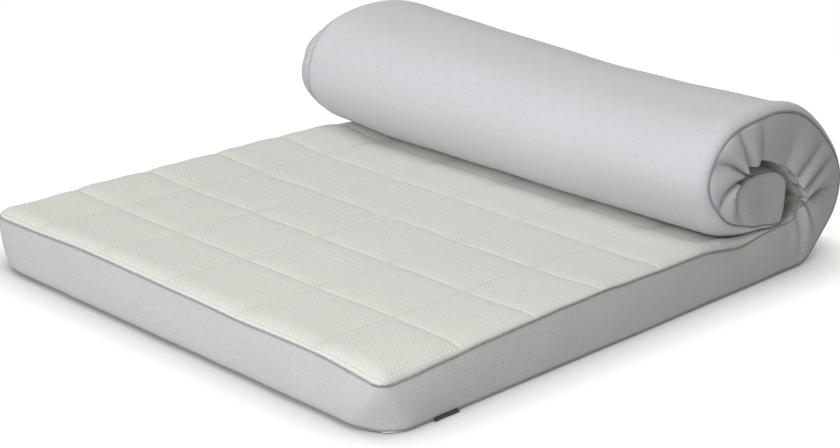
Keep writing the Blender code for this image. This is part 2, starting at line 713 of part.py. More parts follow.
def main():
    for old in list(bpy.data.objects):
        bpy.data.objects.remove(old)
    latex = material("latex", (236, 226, 196), 0.7)
    jersey = material("sock_jersey", (238, 236, 230), 0.9)
    scrim = material("quilt_scrim", (232, 232, 230), 0.9)
    fibre = material("quilt_fibre", (240, 240, 238), 0.95)
    quilt = material("quilted_knit", (213, 214, 206), 0.9)
    mesh_cloth = material("spacer_mesh", (196, 193, 200), 0.85)
    smooth_knit = material("smooth_knit", (206, 205, 210), 0.85)
    cord = material("piping_cord", (140, 132, 140), 0.8)
    tab = material("tab_weave", (38, 38, 42), 0.8)
    tape = material("zip_tape", (206, 204, 208), 0.85)
    coil = material("zip_coil", (190, 189, 194), 0.45)
    metal = material("zip_metal", (150, 150, 152), 0.35, 1.0)
    make_core(latex)
    make_sock(jersey)
    make_slab("quilt_scrim", SCRIM_BASE, SCRIM_TOP, scrim)
    make_slab("quilt_wadding", WADDING_BASE, WADDING_TOP, fibre)
    make_quilt(quilt)
    make_border(mesh_cloth)
    make_bottom_panel(smooth_knit)
    make_piping("upper_piping", UPPER_SEAM, cord)
    make_piping("lower_piping", LOWER_SEAM, cord)
    make_zip(tape, coil, metal)
    plate_front = make_slider(metal)
    make_pull(plate_front, metal)
    make_tab(tab)


main()
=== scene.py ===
# Latex core of the topper: one slab of foamed natural latex, moulded round a grid of pins whose holes
# stay open in both faces. It lies loose in its sock and bends up into the roll with the cover, so the
# path of that bend is worked out here for all the cloth round it.
import math

import bpy
import numpy as np
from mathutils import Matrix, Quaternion, Vector


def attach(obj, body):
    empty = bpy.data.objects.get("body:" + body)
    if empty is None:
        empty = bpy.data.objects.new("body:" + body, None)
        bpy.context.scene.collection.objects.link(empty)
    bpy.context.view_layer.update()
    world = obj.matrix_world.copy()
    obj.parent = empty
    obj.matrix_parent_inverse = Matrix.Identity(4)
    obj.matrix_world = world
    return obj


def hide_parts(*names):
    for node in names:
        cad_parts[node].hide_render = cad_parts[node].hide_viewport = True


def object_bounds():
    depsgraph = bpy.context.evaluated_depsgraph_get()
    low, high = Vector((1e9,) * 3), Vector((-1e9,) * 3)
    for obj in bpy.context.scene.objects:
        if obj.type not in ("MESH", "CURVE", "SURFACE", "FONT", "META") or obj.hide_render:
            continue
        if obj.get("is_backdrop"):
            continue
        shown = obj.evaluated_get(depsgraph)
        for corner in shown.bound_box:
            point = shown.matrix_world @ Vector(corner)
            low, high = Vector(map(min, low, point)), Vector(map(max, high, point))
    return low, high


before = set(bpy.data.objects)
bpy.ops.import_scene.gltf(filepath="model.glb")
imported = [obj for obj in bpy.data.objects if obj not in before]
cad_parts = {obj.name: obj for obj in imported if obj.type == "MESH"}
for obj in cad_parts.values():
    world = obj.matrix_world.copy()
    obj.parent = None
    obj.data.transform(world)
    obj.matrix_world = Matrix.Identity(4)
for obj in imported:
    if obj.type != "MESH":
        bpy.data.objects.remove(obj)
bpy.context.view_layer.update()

SLAB_WIDTH = 0.900
SLAB_LENGTH = 2.000
QUILT_LINE_HEIGHT = 0.0916
QUILT_CROWN = 0.008
SLAB_HEIGHT = QUILT_LINE_HEIGHT + QUILT_CROWN
NEUTRAL_DEPTH = 0.27 * SLAB_HEIGHT

# The bend: three arcs of the underside, then a tail that lies on the quilting
FIRST_RADIUS = SLAB_HEIGHT + 0.0305
LAST_RADIUS = SLAB_HEIGHT + 0.0046
TAIL_RISE = SLAB_HEIGHT + 0.0005
TAIL_END_ROOM = 0.0785 - 0.0305
HEADINGS = np.radians([0.0, 136.0, 196.0, 360.0])
BACK_RADIUS = ((LAST_RADIUS * (1 - math.cos(HEADINGS[2])) + TAIL_RISE
                - FIRST_RADIUS * (1 - math.cos(HEADINGS[1])))
               / (math.cos(HEADINGS[1]) - math.cos(HEADINGS[2])))
RADII = (FIRST_RADIUS, BACK_RADIUS, LAST_RADIUS)
BEND_RUNS = [(HEADINGS[k + 1] - HEADINGS[k]) * (RADII[k] - NEUTRAL_DEPTH) for k in range(3)]
TAIL_OFFSET = ((FIRST_RADIUS - BACK_RADIUS) * math.sin(HEADINGS[1])
               + (BACK_RADIUS - LAST_RADIUS) * math.sin(HEADINGS[2]))
FLAT_RUN = SLAB_LENGTH - sum(BEND_RUNS) + TAIL_END_ROOM + TAIL_OFFSET
BEND_STARTS = [FLAT_RUN + sum(BEND_RUNS[:k]) for k in range(4)]
FRONT_Y = -(FLAT_RUN + FIRST_RADIUS) / 2
CENTRES = [(FRONT_Y + FLAT_RUN, FIRST_RADIUS)]
for k in (1, 2):
    step = RADII[k - 1] - RADII[k]
    CENTRES.append((CENTRES[-1][0] + step * math.sin(HEADINGS[k]),
                    CENTRES[-1][1] - step * math.cos(HEADINGS[k])))

# How the topper has settled. The roll hangs down between its ends and has opened a little at the far
# one. At the near end each row is a place on the side, in Y and Z, and how far the weight pushed it
ROLL_MIDDLE = CENTRES[1][0]
FAR_SWELL = 0.078
FAR_SHIFT = 0.0125
ROLL_DIP = 0.0085
NEAR_DIP = 0.0060
FAR_END_LIFT = 0.008
MIDDLE_SAG = 0.0165
DEEPEST_SAG = 0.0105
DEEPEST_AT = 0.11
DEEPEST_REACH = 0.20
PRESSED = np.array([
    (0.169, 0.204, -0.012, 0), (0.195, 0.262, -0.008, 0.002), (0.25, 0.298, -0.002, -0.001),
    (0.33, 0.302, 0, -0.002), (0.42, 0.285, 0, -0.005), (0.49, 0.25, -0.009, -0.009),
    (0.33, 0.3173, 0, -0.003), (0.25, 0.312, 0, -0.002), (0.593, 0.13, -0.013, 0),
    (0.565, 0.2, -0.013, -0.008), (0.5805, 0.075, -0.020, 0.002), (0.559, 0.043, -0.030, 0.004),
    (0.4626, 0.1301, -0.016, -0.003), (0.44, 0.0835, -0.006, 0.003), (0.509, 0.13, -0.018, -0.002),
    (0.27, 0.0835, 0, 0), (0.33, 0.0835, 0, 0), (0.37, 0.0835, 0, 0.001), (0.40, 0.0835, -0.003, 0.002),
    (0.186, 0.154, 0.005, 0.004), (0.2312, 0.1185, 0, 0.010), (0.3063, 0.1155, 0, -0.009),
    (0.3635, 0.1155, 0, -0.018), (0.41, 0.1155, -0.010, -0.018), (0.258, 0.1837, -0.007, 0.012),
    (0.30, 0.1837, 0, 0.009), (0.3522, 0.1837, 0, 0), (0.386, 0.1837, -0.002, -0.012),
    (0.4146, 0.1837, -0.010, -0.026), (0.31, 0.2335, 0, -0.006), (0.26, 0.225, -0.002, -0.002),
    (0.237, 0.204, -0.008, 0.002), (0.39, 0.222, 0, -0.010), (-0.2, 0, 0, 0), (-0.2, 0.09, 0, 0),
    (0.1, 0, 0, 0), (0.1, 0.09, 0, 0), (0.25, 0, 0, 0), (0.35, 0, 0, 0), (0.45, 0, 0, 0),
    (0.5365, 0.023, -0.031, 0.003), (0.505, 0.008, -0.016, 0.006)])


def bending(square):
    """A thin plate's kernel, from squared distances."""
    return 0.5 * square * np.log(np.maximum(square, 1e-12))


gaps = PRESSED[:, None, :2] - PRESSED[None, :, :2]
plate = bending((gaps ** 2).sum(-1)) + 2e-4 * np.eye(len(PRESSED))
tilt = np.c_[np.ones(len(PRESSED)), PRESSED[:, :2]]
PRESS_WEIGHTS = np.linalg.solve(np.block([[plate, tilt], [tilt.T, np.zeros((3, 3))]]),
                                np.r_[PRESSED[:, 2:], np.zeros((3, 2))])


def ease(start, end, value):
    """0 before start, 1 after end, and smooth between them."""
    share = np.clip((value - start) / (end - start), 0, 1)
    return share * share * (3 - 2 * share)


def settled(x, y, z):
    """Moves points of the neatly rolled topper to where it has settled."""
    push = PRESS_WEIGHTS[-3] + y[..., None] * PRESS_WEIGHTS[-2] + z[..., None] * PRESS_WEIGHTS[-1]
    for k, (py, pz) in enumerate(PRESSED[:, :2]):
        push = push + bending((y - py) ** 2 + (z - pz) ** 2)[..., None] * PRESS_WEIGHTS[k]
    near = ease(0.10, 0.42, x) * ease(-0.15, 0.0, y)
    far = (1 - ease(-0.45, 0.0, x)) * ease(0.09, 0.19, z)
    sag = (-FAR_END_LIFT + MIDDLE_SAG * ease(-0.55, -0.10, x)
           + DEEPEST_SAG * np.exp(-((x - DEEPEST_AT) / DEEPEST_REACH) ** 2))
    sag = sag * (1 - 0.8 * ease(0.38, 0.455, x)) * ease(0.09, 0.30, z)
    under = ease(0.14, 0.22, y) * (1 - ease(0.40, 0.52, y)) * ease(0.0, 0.085, z)
    under = under * (1 - ease(0.105, 0.150, z))
    dip = (ROLL_DIP + NEAR_DIP * ease(0.10, 0.36, x)) * (1 - 0.75 * ease(0.405, 0.44, x))
    dip = dip * ease(-0.46, -0.30, x) * under
    return (y + near * push[..., 0] + far * ((y - ROLL_MIDDLE) * FAR_SWELL - FAR_SHIFT),
            np.maximum(z + near * push[..., 1] - sag - dip, 0))


def on_path(s, n):
    """Y and Z of points at distance s along the topper and n above its underside."""
    s, n = np.broadcast_arrays(np.asarray(s, float), np.asarray(n, float))
    y = FRONT_Y + s
    z = n.copy()
    for k in range(3):
        heading = HEADINGS[k] + (s - BEND_STARTS[k]) / (RADII[k] - NEUTRAL_DEPTH)
        inside = s > BEND_STARTS[k]
        y = np.where(inside, CENTRES[k][0] + (RADII[k] - n) * np.sin(heading), y)
        z = np.where(inside, CENTRES[k][1] - (RADII[k] - n) * np.cos(heading), z)
    tail = s > BEND_STARTS[3]
    y = np.where(tail, CENTRES[2][0] + s - BEND_STARTS[3], y)
    z = np.where(tail, CENTRES[2][1] - RADII[2] + n, z)
    return y, z


LOWER_CORNER = 0.065
TAIL_CORNER = 0.026
LEFT_ROUNDER = 0.014


def corner_at(corner, x, s):
    """A plan corner's radius: larger at the flat end's left corner, and small at the end of the tail."""
    at_flat_end = corner + np.where(x < 0, LEFT_ROUNDER, 0)
    return np.where(s > SLAB_LENGTH / 2, np.minimum(corner, TAIL_CORNER), at_flat_end)


def place(x, s, n, corner=LOWER_CORNER):
    """Points of the bent topper, with its plan corners rounded to that radius."""
    x, s, n = np.broadcast_arrays(np.asarray(x, float), s, n)
    corner = corner_at(corner, x, s) if corner else 0.0
    a = corner - (SLAB_WIDTH / 2 - np.abs(x))
    b = corner - np.minimum(s, SLAB_LENGTH - s)
    both = (a > 0) & (b > 0)
    share = np.where(both, np.maximum(a, b) / np.maximum(np.hypot(a, b), 1e-9), 1.0)
    x = np.where(both, np.sign(x) * (SLAB_WIDTH / 2 - corner + a * share), x)
    pull = np.where(both, b - b * share, 0.0)
    y, z = settled(x, *on_path(np.where(s < SLAB_LENGTH / 2, s + pull, s - pull), n))
    return np.stack([x, y, z], axis=-1)


def spread(marks, count, crowding=0.0):
    """Lines from the first mark to the last, with count steps between two marks, crowded towards them."""
    lines = []
    for start, end in zip(marks, marks[1:]):
        t = np.arange(count) / count
        lines += list(start + (end - start) * (t - crowding * np.sin(2 * np.pi * t) / (2 * np.pi)))
    return np.array(lines + [marks[-1]])


def new_piece(name, points, faces, flat_map):
    """An object from rows of points, with a map of its cloth laid flat, in metres."""
    mesh = bpy.data.meshes.new(name)
    mesh.from_pydata(np.asarray(points, float).reshape(-1, 3).tolist(), [], faces)
    layer = mesh.uv_layers.new(name="flat")
    loop_verts = np.empty(len(mesh.loops), dtype=np.int32)
    mesh.loops.foreach_get("vertex_index", loop_verts)
    flat = np.asarray(flat_map, float).reshape(-1, 2)
    layer.data.foreach_set("uv", flat[loop_verts].ravel())
    mesh.shade_smooth()
    piece = bpy.data.objects.new(name, mesh)
    bpy.context.collection.objects.link(piece)
    return piece


def grid_faces(rows, columns, start=0, turned=False, round_trip=False):
    """Quads between rows of points that are stored one row after the other."""
    faces = []
    for i in range(rows - 1):
        for j in range(columns if round_trip else columns - 1):
            m = (j + 1) % columns
            quad = (i * columns + j, i * columns + m, (i + 1) * columns + m, (i + 1) * columns + j)
            faces.append(tuple(start + v for v in (quad[::-1] if turned else quad)))
    return faces


def slab(name, xs, ss, low, high, open_end=False, corner=LOWER_CORNER):
    """A closed slab over a grid of x and s lines, between two heights above the underside."""
    grid_x, grid_s = np.meshgrid(xs, ss)
    points = np.concatenate([place(grid_x, grid_s, high, corner).reshape(-1, 3),
                             place(grid_x, grid_s, low, corner).reshape(-1, 3)])
    flat = np.stack([grid_x, grid_s], axis=-1).reshape(-1, 2)
    rows, columns = grid_x.shape
    count = rows * columns
    faces = grid_faces(rows, columns) + grid_faces(rows, columns, count, turned=True)
    rim = [i * columns for i in range(rows - 1, 0, -1)] + list(range(columns - 1))
    rim += [i * columns + columns - 1 for i in range(rows - 1)]
    far = [(rows - 1) * columns + j for j in range(columns - 1, 0, -1)]
    loop = rim + far
    for k, v in enumerate(loop):
        m = loop[(k + 1) % len(loop)]
        if open_end and v >= (rows - 1) * columns and m >= (rows - 1) * columns:
            continue
        faces.append((m, v, v + count, m + count))
    return new_piece(name, points, faces, np.concatenate([flat, flat]))


def select_only(piece):
    """Makes a piece the only one that Blender's own tools work on."""
    bpy.ops.object.select_all(action="DESELECT")
    piece.select_set(True)
    bpy.context.view_layer.objects.active = piece


def apply_modifier(piece, kind, **settings):
    """Adds a modifier to a piece and applies it."""
    select_only(piece)
    modifier = piece.modifiers.new(kind.lower(), kind)
    for key, value in settings.items():
        setattr(modifier, key, value)
    bpy.ops.object.modifier_apply(modifier=modifier.name)
    return piece


def linear(code):
    """A linear colour from an sRGB hex code."""
    values = [int(code[k:k + 2], 16) / 255 for k in (1, 3, 5)]
    return [((c + 0.055) / 1.055) ** 2.4 if c > 0.04045 else c / 12.92 for c in values] + [1.0]


def add_node(tree, kind, inputs=(), give=0, to=None, **settings):
    """Adds a node with its settings and links, and returns its output. Inputs are values or outputs."""
    node = tree.nodes.new(kind)
    for key, value in settings.items():
        setattr(node, key, value)
    for key, value in dict(inputs).items():
        if isinstance(value, bpy.types.NodeSocket):
            tree.links.new(value, node.inputs[key])
        else:
            node.inputs[key].default_value = value
    if to is not None:
        tree.links.new(node.outputs[give], to)
    return node.outputs[give]


def new_material(name, roughness, metallic=0.0, sheen=0.0):
    """A material, its node tree, its shader, and the place for its patterns: the flat cloth in mm."""
    material = bpy.data.materials.new(name)
    material.use_nodes = True
    tree = material.node_tree
    shader = tree.nodes["Principled BSDF"]
    shader.inputs["Roughness"].default_value = roughness
    shader.inputs["Metallic"].default_value = metallic
    shader.inputs["Sheen Weight"].default_value = sheen
    flat = add_node(tree, "ShaderNodeUVMap", uv_map="flat")
    flat_mm = add_node(tree, "ShaderNodeVectorMath", {0: flat, "Scale": 1000.0}, operation="SCALE")
    return material, tree, shader.inputs, flat_mm


def ripple(tree, flat_mm, pitch, angle):
    """A cosine pattern of that pitch in mm, running in that direction of the flat cloth, from -1 to 1."""
    turn = 2 * math.pi / pitch
    heading = (turn * math.cos(angle), turn * math.sin(angle), 0.0)
    across = add_node(tree, "ShaderNodeVectorMath", {0: flat_mm, 1: heading}, give="Value",
                      operation="DOT_PRODUCT")
    return add_node(tree, "ShaderNodeMath", {0: across}, operation="COSINE")


def honeycomb(tree, flat_mm, pitch, tilt=0.0):
    """Round cells on a triangular grid: 1 in the middle of a cell, about -0.5 between them."""
    total = 0.0
    for k in range(3):
        one = ripple(tree, flat_mm, pitch, tilt + k * math.pi / 3)
        total = add_node(tree, "ShaderNodeMath", {0: one, 1: 1 / 3, 2: total}, operation="MULTIPLY_ADD")
    return total


def finish_piece(piece, material, body, slot, *nodes):
    """Gives a piece its material and its body, and hides the CAD nodes that it stands for; its slot is not
    used.
    """
    piece.data.materials.clear()
    piece.data.materials.append(material)
    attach(piece, body)
    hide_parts(*nodes)


CORE_BASE = 0.0050
CORE_TOP = CORE_BASE + 0.0784
CORE_INSET = 0.0145
CORE_ROUNDING = 0.014


def slab_lines(inset, rounding, step_s):
    """X and s lines of a slab with rounded edges, close together where it bends."""
    edge = [inset + rounding * (1 - math.cos(math.pi / 2 * k / 4)) for k in range(5)]
    half = SLAB_WIDTH / 2
    xs = np.concatenate([[-half + d for d in edge[:-1]],
                         np.linspace(-half + edge[-1], half - 0.09, 27),
                         np.linspace(half - 0.08, half - edge[-1], 7),
                         [half - d for d in edge[-2::-1]]])
    run = np.concatenate([np.linspace(edge[-1], FLAT_RUN, 30)[:-1],
                          np.arange(FLAT_RUN, BEND_STARTS[3], step_s),
                          np.linspace(BEND_STARTS[3], SLAB_LENGTH - edge[-1], 8)])
    ss = np.concatenate([edge[:-1], run, [SLAB_LENGTH - d for d in edge[-2::-1]]])
    return xs, ss


def rounded_heights(xs, ss, inset, rounding, low, high):
    """Low and high surfaces of a slab whose edges are rounded."""
    grid_x, grid_s = np.meshgrid(xs, ss)
    depth = np.minimum(SLAB_WIDTH / 2 - np.abs(grid_x), np.minimum(grid_s, SLAB_LENGTH - grid_s)) - inset
    t = np.clip(1 - depth / rounding, 0, 1)
    fall = rounding * (1 - np.sqrt(np.maximum(0, 1 - t * t)))
    return low + fall, high - fall


xs, ss = slab_lines(CORE_INSET, CORE_ROUNDING, 0.008)
low, high = rounded_heights(xs, ss, CORE_INSET, CORE_ROUNDING, CORE_BASE, CORE_TOP)
core = slab("core_foam", xs, ss, low, high)

# Foamed natural latex, cream and matt, with fine open cells and pin holes 8 mm across every 32 mm
material, tree, to, flat_mm = new_material("natural_latex_foam", 0.75)
pins = honeycomb(tree, flat_mm, 32.0)
hole = add_node(tree, "ShaderNodeMapRange", {0: pins, 1: 0.78, 2: 0.86})
where = add_node(tree, "ShaderNodeTexCoord", give="Object")
pores = add_node(tree, "ShaderNodeTexNoise", {"Vector": where, "Scale": 900.0})
foam = add_node(tree, "ShaderNodeMix", {0: pores, 6: linear("#E6DCC0"), 7: linear("#F0E8D0")}, give=2,
                data_type="RGBA")
# The pin holes are painted dark: this is painted shade inside the holes.
add_node(tree, "ShaderNodeMix", {0: hole, 6: foam, 7: linear("#6E6650")}, give=2, to=to["Base Color"],
         data_type="RGBA")
add_node(tree, "ShaderNodeBump", {"Height": hole, "Distance": 0.003}, to=to["Normal"], invert=True)
finish_piece(core, material, "topper", "latex", "latex_core")


# Sock of the core: a sleeve of thin single jersey that keeps the latex clean and lets the cover
# slide over it. Three edges are sewn and the end inside the roll is left open.
SOCK_BASE = 0.0038
SOCK_TOP = 0.0843
SOCK_INSET = 0.0134
SOCK_CLOTH = 0.0007

xs, ss = slab_lines(SOCK_INSET, CORE_ROUNDING, 0.008)
low, high = rounded_heights(xs, ss, SOCK_INSET, CORE_ROUNDING, SOCK_BASE, SOCK_TOP)
sock = slab("jersey_sock", xs, ss, low, high, open_end=True)
apply_modifier(sock, "SOLIDIFY", thickness=SOCK_CLOTH, offset=-1.0)

# Cotton jersey, white and matt, with wales 0.9 mm apart
material, tree, to, flat_mm = new_material("cotton_jersey", 0.9, sheen=0.2)
where = add_node(tree, "ShaderNodeTexCoord", give="Object")
cloud = add_node(tree, "ShaderNodeTexNoise", {"Vector": where, "Scale": 30.0})
add_node(tree, "ShaderNodeMix", {0: cloud, 6: linear("#E9E7E0"), 7: linear("#F2F0EA")},
         give=2, to=to["Base Color"], data_type="RGBA")
wales = ripple(tree, flat_mm, 0.9, 0.0)
add_node(tree, "ShaderNodeBump", {"Height": wales, "Distance": 0.00015}, to=to["Normal"])
finish_piece(sock, material, "topper", "sock_jersey", "core_sock")


# Quilted face: a cream double knit with a honeycomb of small blisters, sewn through wadding and scrim
# in squares. Its edge rolls down to the upper seam. Inside the roll it is squeezed short, so it
# ruffles there and crowds into the hollow at both ends.
UPPER_SEAM = 0.0835
UPPER_CORNER = 0.024
UPPER_INSET = 0.0045
UPPER_TUCK = 0.010
PIPING_RADIUS = 0.0013
QUILT_PITCH = 0.158
LENGTHWISE_LINES = -SLAB_WIDTH / 2 + 0.126 + QUILT_PITCH * np.arange(5)
CROSSWISE_LINES = 0.166 + QUILT_PITCH * np.arange(12)
PILLOW_SHOULDER = 0.033
QUILT_EDGE_ROLL = 0.034
QUILT_CLOTH = 0.0016
QUILT_WANDER = 0.0025
CREASE_HEIGHT = QUILT_LINE_HEIGHT + 0.0016
FACE_CROWN = 0.0040
HIGHEST_QUILT = 0.1265
RIGHT_WAVES = 0.0013
LEFT_WAVES = 0.002
FINE_ROWS_END = 1.37

# How far above its usual height the upper seam lies, in mm: along the right side, where it also crowds
# into the hollow of the roll, along the left side, and along the flat end
SIDE_MARKS = (0, 0.04, 0.12, 0.205, 0.29, 0.384, 0.456, 0.53, 0.624, 0.744, 0.803, 0.863, 0.919,
              0.985, 1.02, 1.05, 1.09, 1.14, 1.22, 1.29, 1.33, 1.36, 1.40, 1.44, 1.495, 1.53,
              1.56, 1.60, 1.67, 1.72, 1.76, 1.81, 1.97, 2.0)
SIDE_RISE = (-7.5, -5.6, -3, 0.7, 4.5, 8.4, 9.4, 9.4, 8.0, 3.0, -2.5, -2.5, 8.0,
             18, 16, 26, 36, 42, 43, 39, 28, 17, 9, 13, 18, 9,
             3, 5, 2, -8, -13, -8, 0, -9)
LEFT_MARKS = (0, 0.05, 0.15, 0.3, 0.5, 0.7, 0.76, 0.83, 0.9, 1.05, 1.2, 1.35, 1.45, 1.6, 2.0)
LEFT_RISE = (-3, -1, 3, 6, 9, 11, 9, 3, 0, 0, 20, 14, 3, 0, 0)
END_MARKS = (-0.45, -0.395, -0.315, -0.21, -0.11, -0.017, 0.075, 0.162, 0.246, 0.327, 0.386, 0.435)
END_RISE = (1.0, 1.9, 3.5, 7.0, 6.1, 4.8, 3.7, 1.5, 2.7, 2.4, -2.5, -7.5)

# Gathers in the roll: where each valley starts at the lower seam and ends at the upper one, along the
# topper, and how deep it is in mm. The first side is the near one
GATHERS = {
    "right": ((1.00, 1.04, 1.12, 1.215, 1.275, 1.330, 1.44, 1.560, 1.623, 1.690, 1.775, 1.860, 1.92),
              (1.00, 1.04, 1.10, 1.235, 1.340, 1.395, 1.46, 1.560, 1.604, 1.650, 1.732, 1.748, 1.90),
              (0, 9, 14, 19, 20, 17, 3, 8, 22, 24, 25, 22, 0)),
    "left": ((1.00, 1.09, 1.14, 1.21, 1.25, 1.33, 1.46, 1.60, 1.65, 1.70, 1.77, 1.86),
             (1.00, 1.12, 1.19, 1.24, 1.28, 1.32, 1.44, 1.61, 1.66, 1.72, 1.78, 1.86),
             (0, 7, 10, 12, 12, 8, 2, 12, 14, 15, 12, 0))}


def hump(value, centre, width):
    """A smooth hump, 1 at its centre."""
    return np.exp(-((value - centre) / width) ** 2)


def through(value, marks, heights):
    """A smooth curve through heights in mm, given in metres."""
    marks, heights = np.asarray(marks, float), np.asarray(heights, float)
    slopes = np.gradient(heights, marks)
    k = np.clip(np.searchsorted(marks, value) - 1, 0, len(marks) - 2)
    step = marks[k + 1] - marks[k]
    t = np.clip((value - marks[k]) / step, 0, 1)
    level = heights[k] * (1 + 2 * t) * (1 - t) ** 2 + heights[k + 1] * t * t * (3 - 2 * t)
    lean = step * t * (1 - t) * (slopes[k] * (1 - t) - slopes[k + 1] * t)
    return (level + lean) / 1000


def slow_waves(x, s, seed):
    """Smooth unevenness from -1 to 1 over the laid-flat topper."""
    draw = np.random.default_rng(seed)
    total = np.zeros(np.broadcast(x, s).shape)
    for _ in range(7):
        angle, turn = draw.uniform(0, np.pi), draw.uniform(0, 2 * np.pi)
        wavelength = draw.uniform(0.07, 0.26)
        total += np.sin(2 * np.pi * (x * np.cos(angle) + s * np.sin(angle)) / wavelength + turn)
    return total / 4


def gathers(x, s, v):
    """Depth of the gathers and their wave, 0 in a valley and 1 on a crest, at share v of the side."""
    both = []
    for side in ("right", "left"):
        low, high, depth = (np.asarray(row) for row in GATHERS[side])
        valleys = low + (high - low) * v
        wave_at = np.interp(s, valleys, np.arange(len(valleys)))
        both.append((np.interp(s, valleys, depth) / 1000, np.abs(np.sin(np.pi * wave_at)) ** 0.85))
    (depth_a, rise_a), (depth_b, rise_b) = both
    return np.where(x > 0, depth_a, depth_b), np.where(x > 0, rise_a, rise_b)


def in_roll(s, start=0.10):
    """1 in the roll, 0 on the flat stretch and at the end of the tail."""
    return ease(FLAT_RUN, FLAT_RUN + start, s) * (1 - ease(BEND_STARTS[3] - 0.03, BEND_STARTS[3] + 0.05, s))


def upper_seam(x, s):
    """Height of the upper seam above the underside."""
    right, left = ease(0.20, 0.42, x), ease(0.20, 0.42, -x)
    front = 1 - ease(0.03, 0.15, s)
    right_waves = RIGHT_WAVES * slow_waves(0 * s, 1.6 * s, 17) * (1 - past_flat(s))
    left_waves = LEFT_WAVES * slow_waves(0 * s, s, 31) * (1 - in_roll(s))
    side = right * (through(s, SIDE_MARKS, SIDE_RISE) + right_waves)
    side = side + left * (through(s, LEFT_MARKS, LEFT_RISE) + left_waves)
    return UPPER_SEAM + (1 - front) * side + front * through(x, END_MARKS, END_RISE)


def past_flat(s):
    """0 on the flat stretch, 1 in the roll and its tail, where the border curls over the upper seam."""
    return ease(FLAT_RUN, FLAT_RUN + 0.10, s)


def upper_inset(x, s):
    """How far in the upper seam lies: it is tucked behind the curled border past the flat stretch."""
    return UPPER_INSET + UPPER_TUCK * past_flat(s)


def pillow(value, lines):
    """0 on a quilting line, 1 from a shoulder's distance on."""
    nearest = np.min(np.abs(value[..., None] - lines), axis=-1)
    return np.sin(np.pi / 2 * np.minimum(1, nearest / PILLOW_SHOULDER)) ** 0.5


def quilt_relief(x, s):
    """Height of the face above its quilting lines."""
    roll = ease(FLAT_RUN - 0.02, FLAT_RUN + 0.06, s) * (1 - ease(BEND_STARTS[3] - 0.04, BEND_STARTS[3], s))
    fullness = 1 + 0.12 * slow_waves(x, s, 4)
    squares = pillow(x, LENGTHWISE_LINES) ** 1.6 * pillow(s, CROSSWISE_LINES) ** 0.8
    _, rise = gathers(x, s + 0.006 * slow_waves(x, 0 * s, 9), 1.0)
    ruffles = (0.15 + 0.85 * rise) * (0.6 + 0.4 * pillow(x, LENGTHWISE_LINES))
    puckers = np.sin(2 * np.pi * s / 0.036 + 5 * slow_waves(x, 0 * s, 2)) * hump(s, FLAT_RUN - 0.06, 0.07)
    return FACE_CROWN * ((1 - roll) * squares * fullness + roll * ruffles + 0.22 * puckers)


def quilt_heights(x, s):
    """Sideways shift and height of the quilted face."""
    hand = np.where(x > 0, 1.0, -1.0)
    from_side = SLAB_WIDTH / 2 - np.abs(x)
    inset = np.minimum(from_side, np.minimum(s, SLAB_LENGTH - s))
    seam = upper_seam(x, s) + PIPING_RADIUS * 0.6
    sides = np.where(x > 0, 0.5, 0.9) * (1 - ease(0.0, np.where(x > 0, 0.10, 0.16), inset))
    lifted = sides * (seam - UPPER_SEAM) * (1 - ease(FLAT_RUN - 0.16, FLAT_RUN, s))
    top = CREASE_HEIGHT + quilt_relief(x, s) + lifted
    top = top + 0.9 * np.maximum(0, seam - top) * (1 - ease(0.02, 0.13, from_side)) * past_flat(s)
    turn = np.clip(1 - (inset - UPPER_INSET) / QUILT_EDGE_ROLL, 0, 1)
    n = seam + (top - seam) * np.sqrt(np.maximum(0, 1 - turn * turn))
    depth, rise = gathers(x, s, 1.0)
    side = 1 - ease(UPPER_INSET, 0.070, from_side)
    tuck = (upper_inset(x, s) - UPPER_INSET) * side
    n = n + 0.4 * depth * (rise - 0.5) * side
    wander = QUILT_WANDER * slow_waves(x, s, 5) * ease(0.0, 0.08, inset)
    return hand * (depth * (rise - 0.35) * side - tuck) + wander, np.minimum(n, HIGHEST_QUILT)


half = SLAB_WIDTH / 2
edge = UPPER_INSET + QUILT_EDGE_ROLL * (1 - np.sin(np.pi / 2 * np.arange(9) / 8))[::-1]
cell_marks = np.concatenate([[-half + edge[-1]], LENGTHWISE_LINES, [half - edge[-1]]])
xs = np.concatenate([-half + edge[:-1], spread(cell_marks, 18, 0.88), (half - edge[:-1])[::-1]])
flat_lines = CROSSWISE_LINES[CROSSWISE_LINES < FLAT_RUN - 0.03]
tail_lines = CROSSWISE_LINES[CROSSWISE_LINES > BEND_STARTS[3] + 0.01]
flat_rows = spread(np.concatenate([[edge[-1]], flat_lines]), 18, 0.88)
bend_rows = np.concatenate([np.arange(flat_lines[-1] + 0.004, FLAT_RUN, 0.005),
                            np.arange(FLAT_RUN, FINE_ROWS_END, 0.0035),
                            np.arange(FINE_ROWS_END, BEND_STARTS[3] - 0.002, 0.0045)])
tail_rows = spread(np.concatenate([[BEND_STARTS[3]], tail_lines, [SLAB_LENGTH - edge[-1]]]), 12, 0.6)
ss = np.concatenate([edge[:-1], flat_rows[:-1], bend_rows, tail_rows, (SLAB_LENGTH - edge[:-1])[::-1]])
grid_x, grid_s = np.meshgrid(xs, ss)
shift, n = quilt_heights(grid_x, grid_s)
from_end = np.minimum(grid_s, SLAB_LENGTH - grid_s)
wander = QUILT_WANDER * slow_waves(grid_x, grid_s, 6) * ease(0.0, 0.08, from_end)
points = place(grid_x + shift, grid_s + wander, n, UPPER_CORNER)
quilt = new_piece("quilted_face", points, grid_faces(*grid_x.shape), np.stack([grid_x, grid_s], axis=-1))
apply_modifier(quilt, "SOLIDIFY", thickness=QUILT_CLOTH, offset=-1.0)
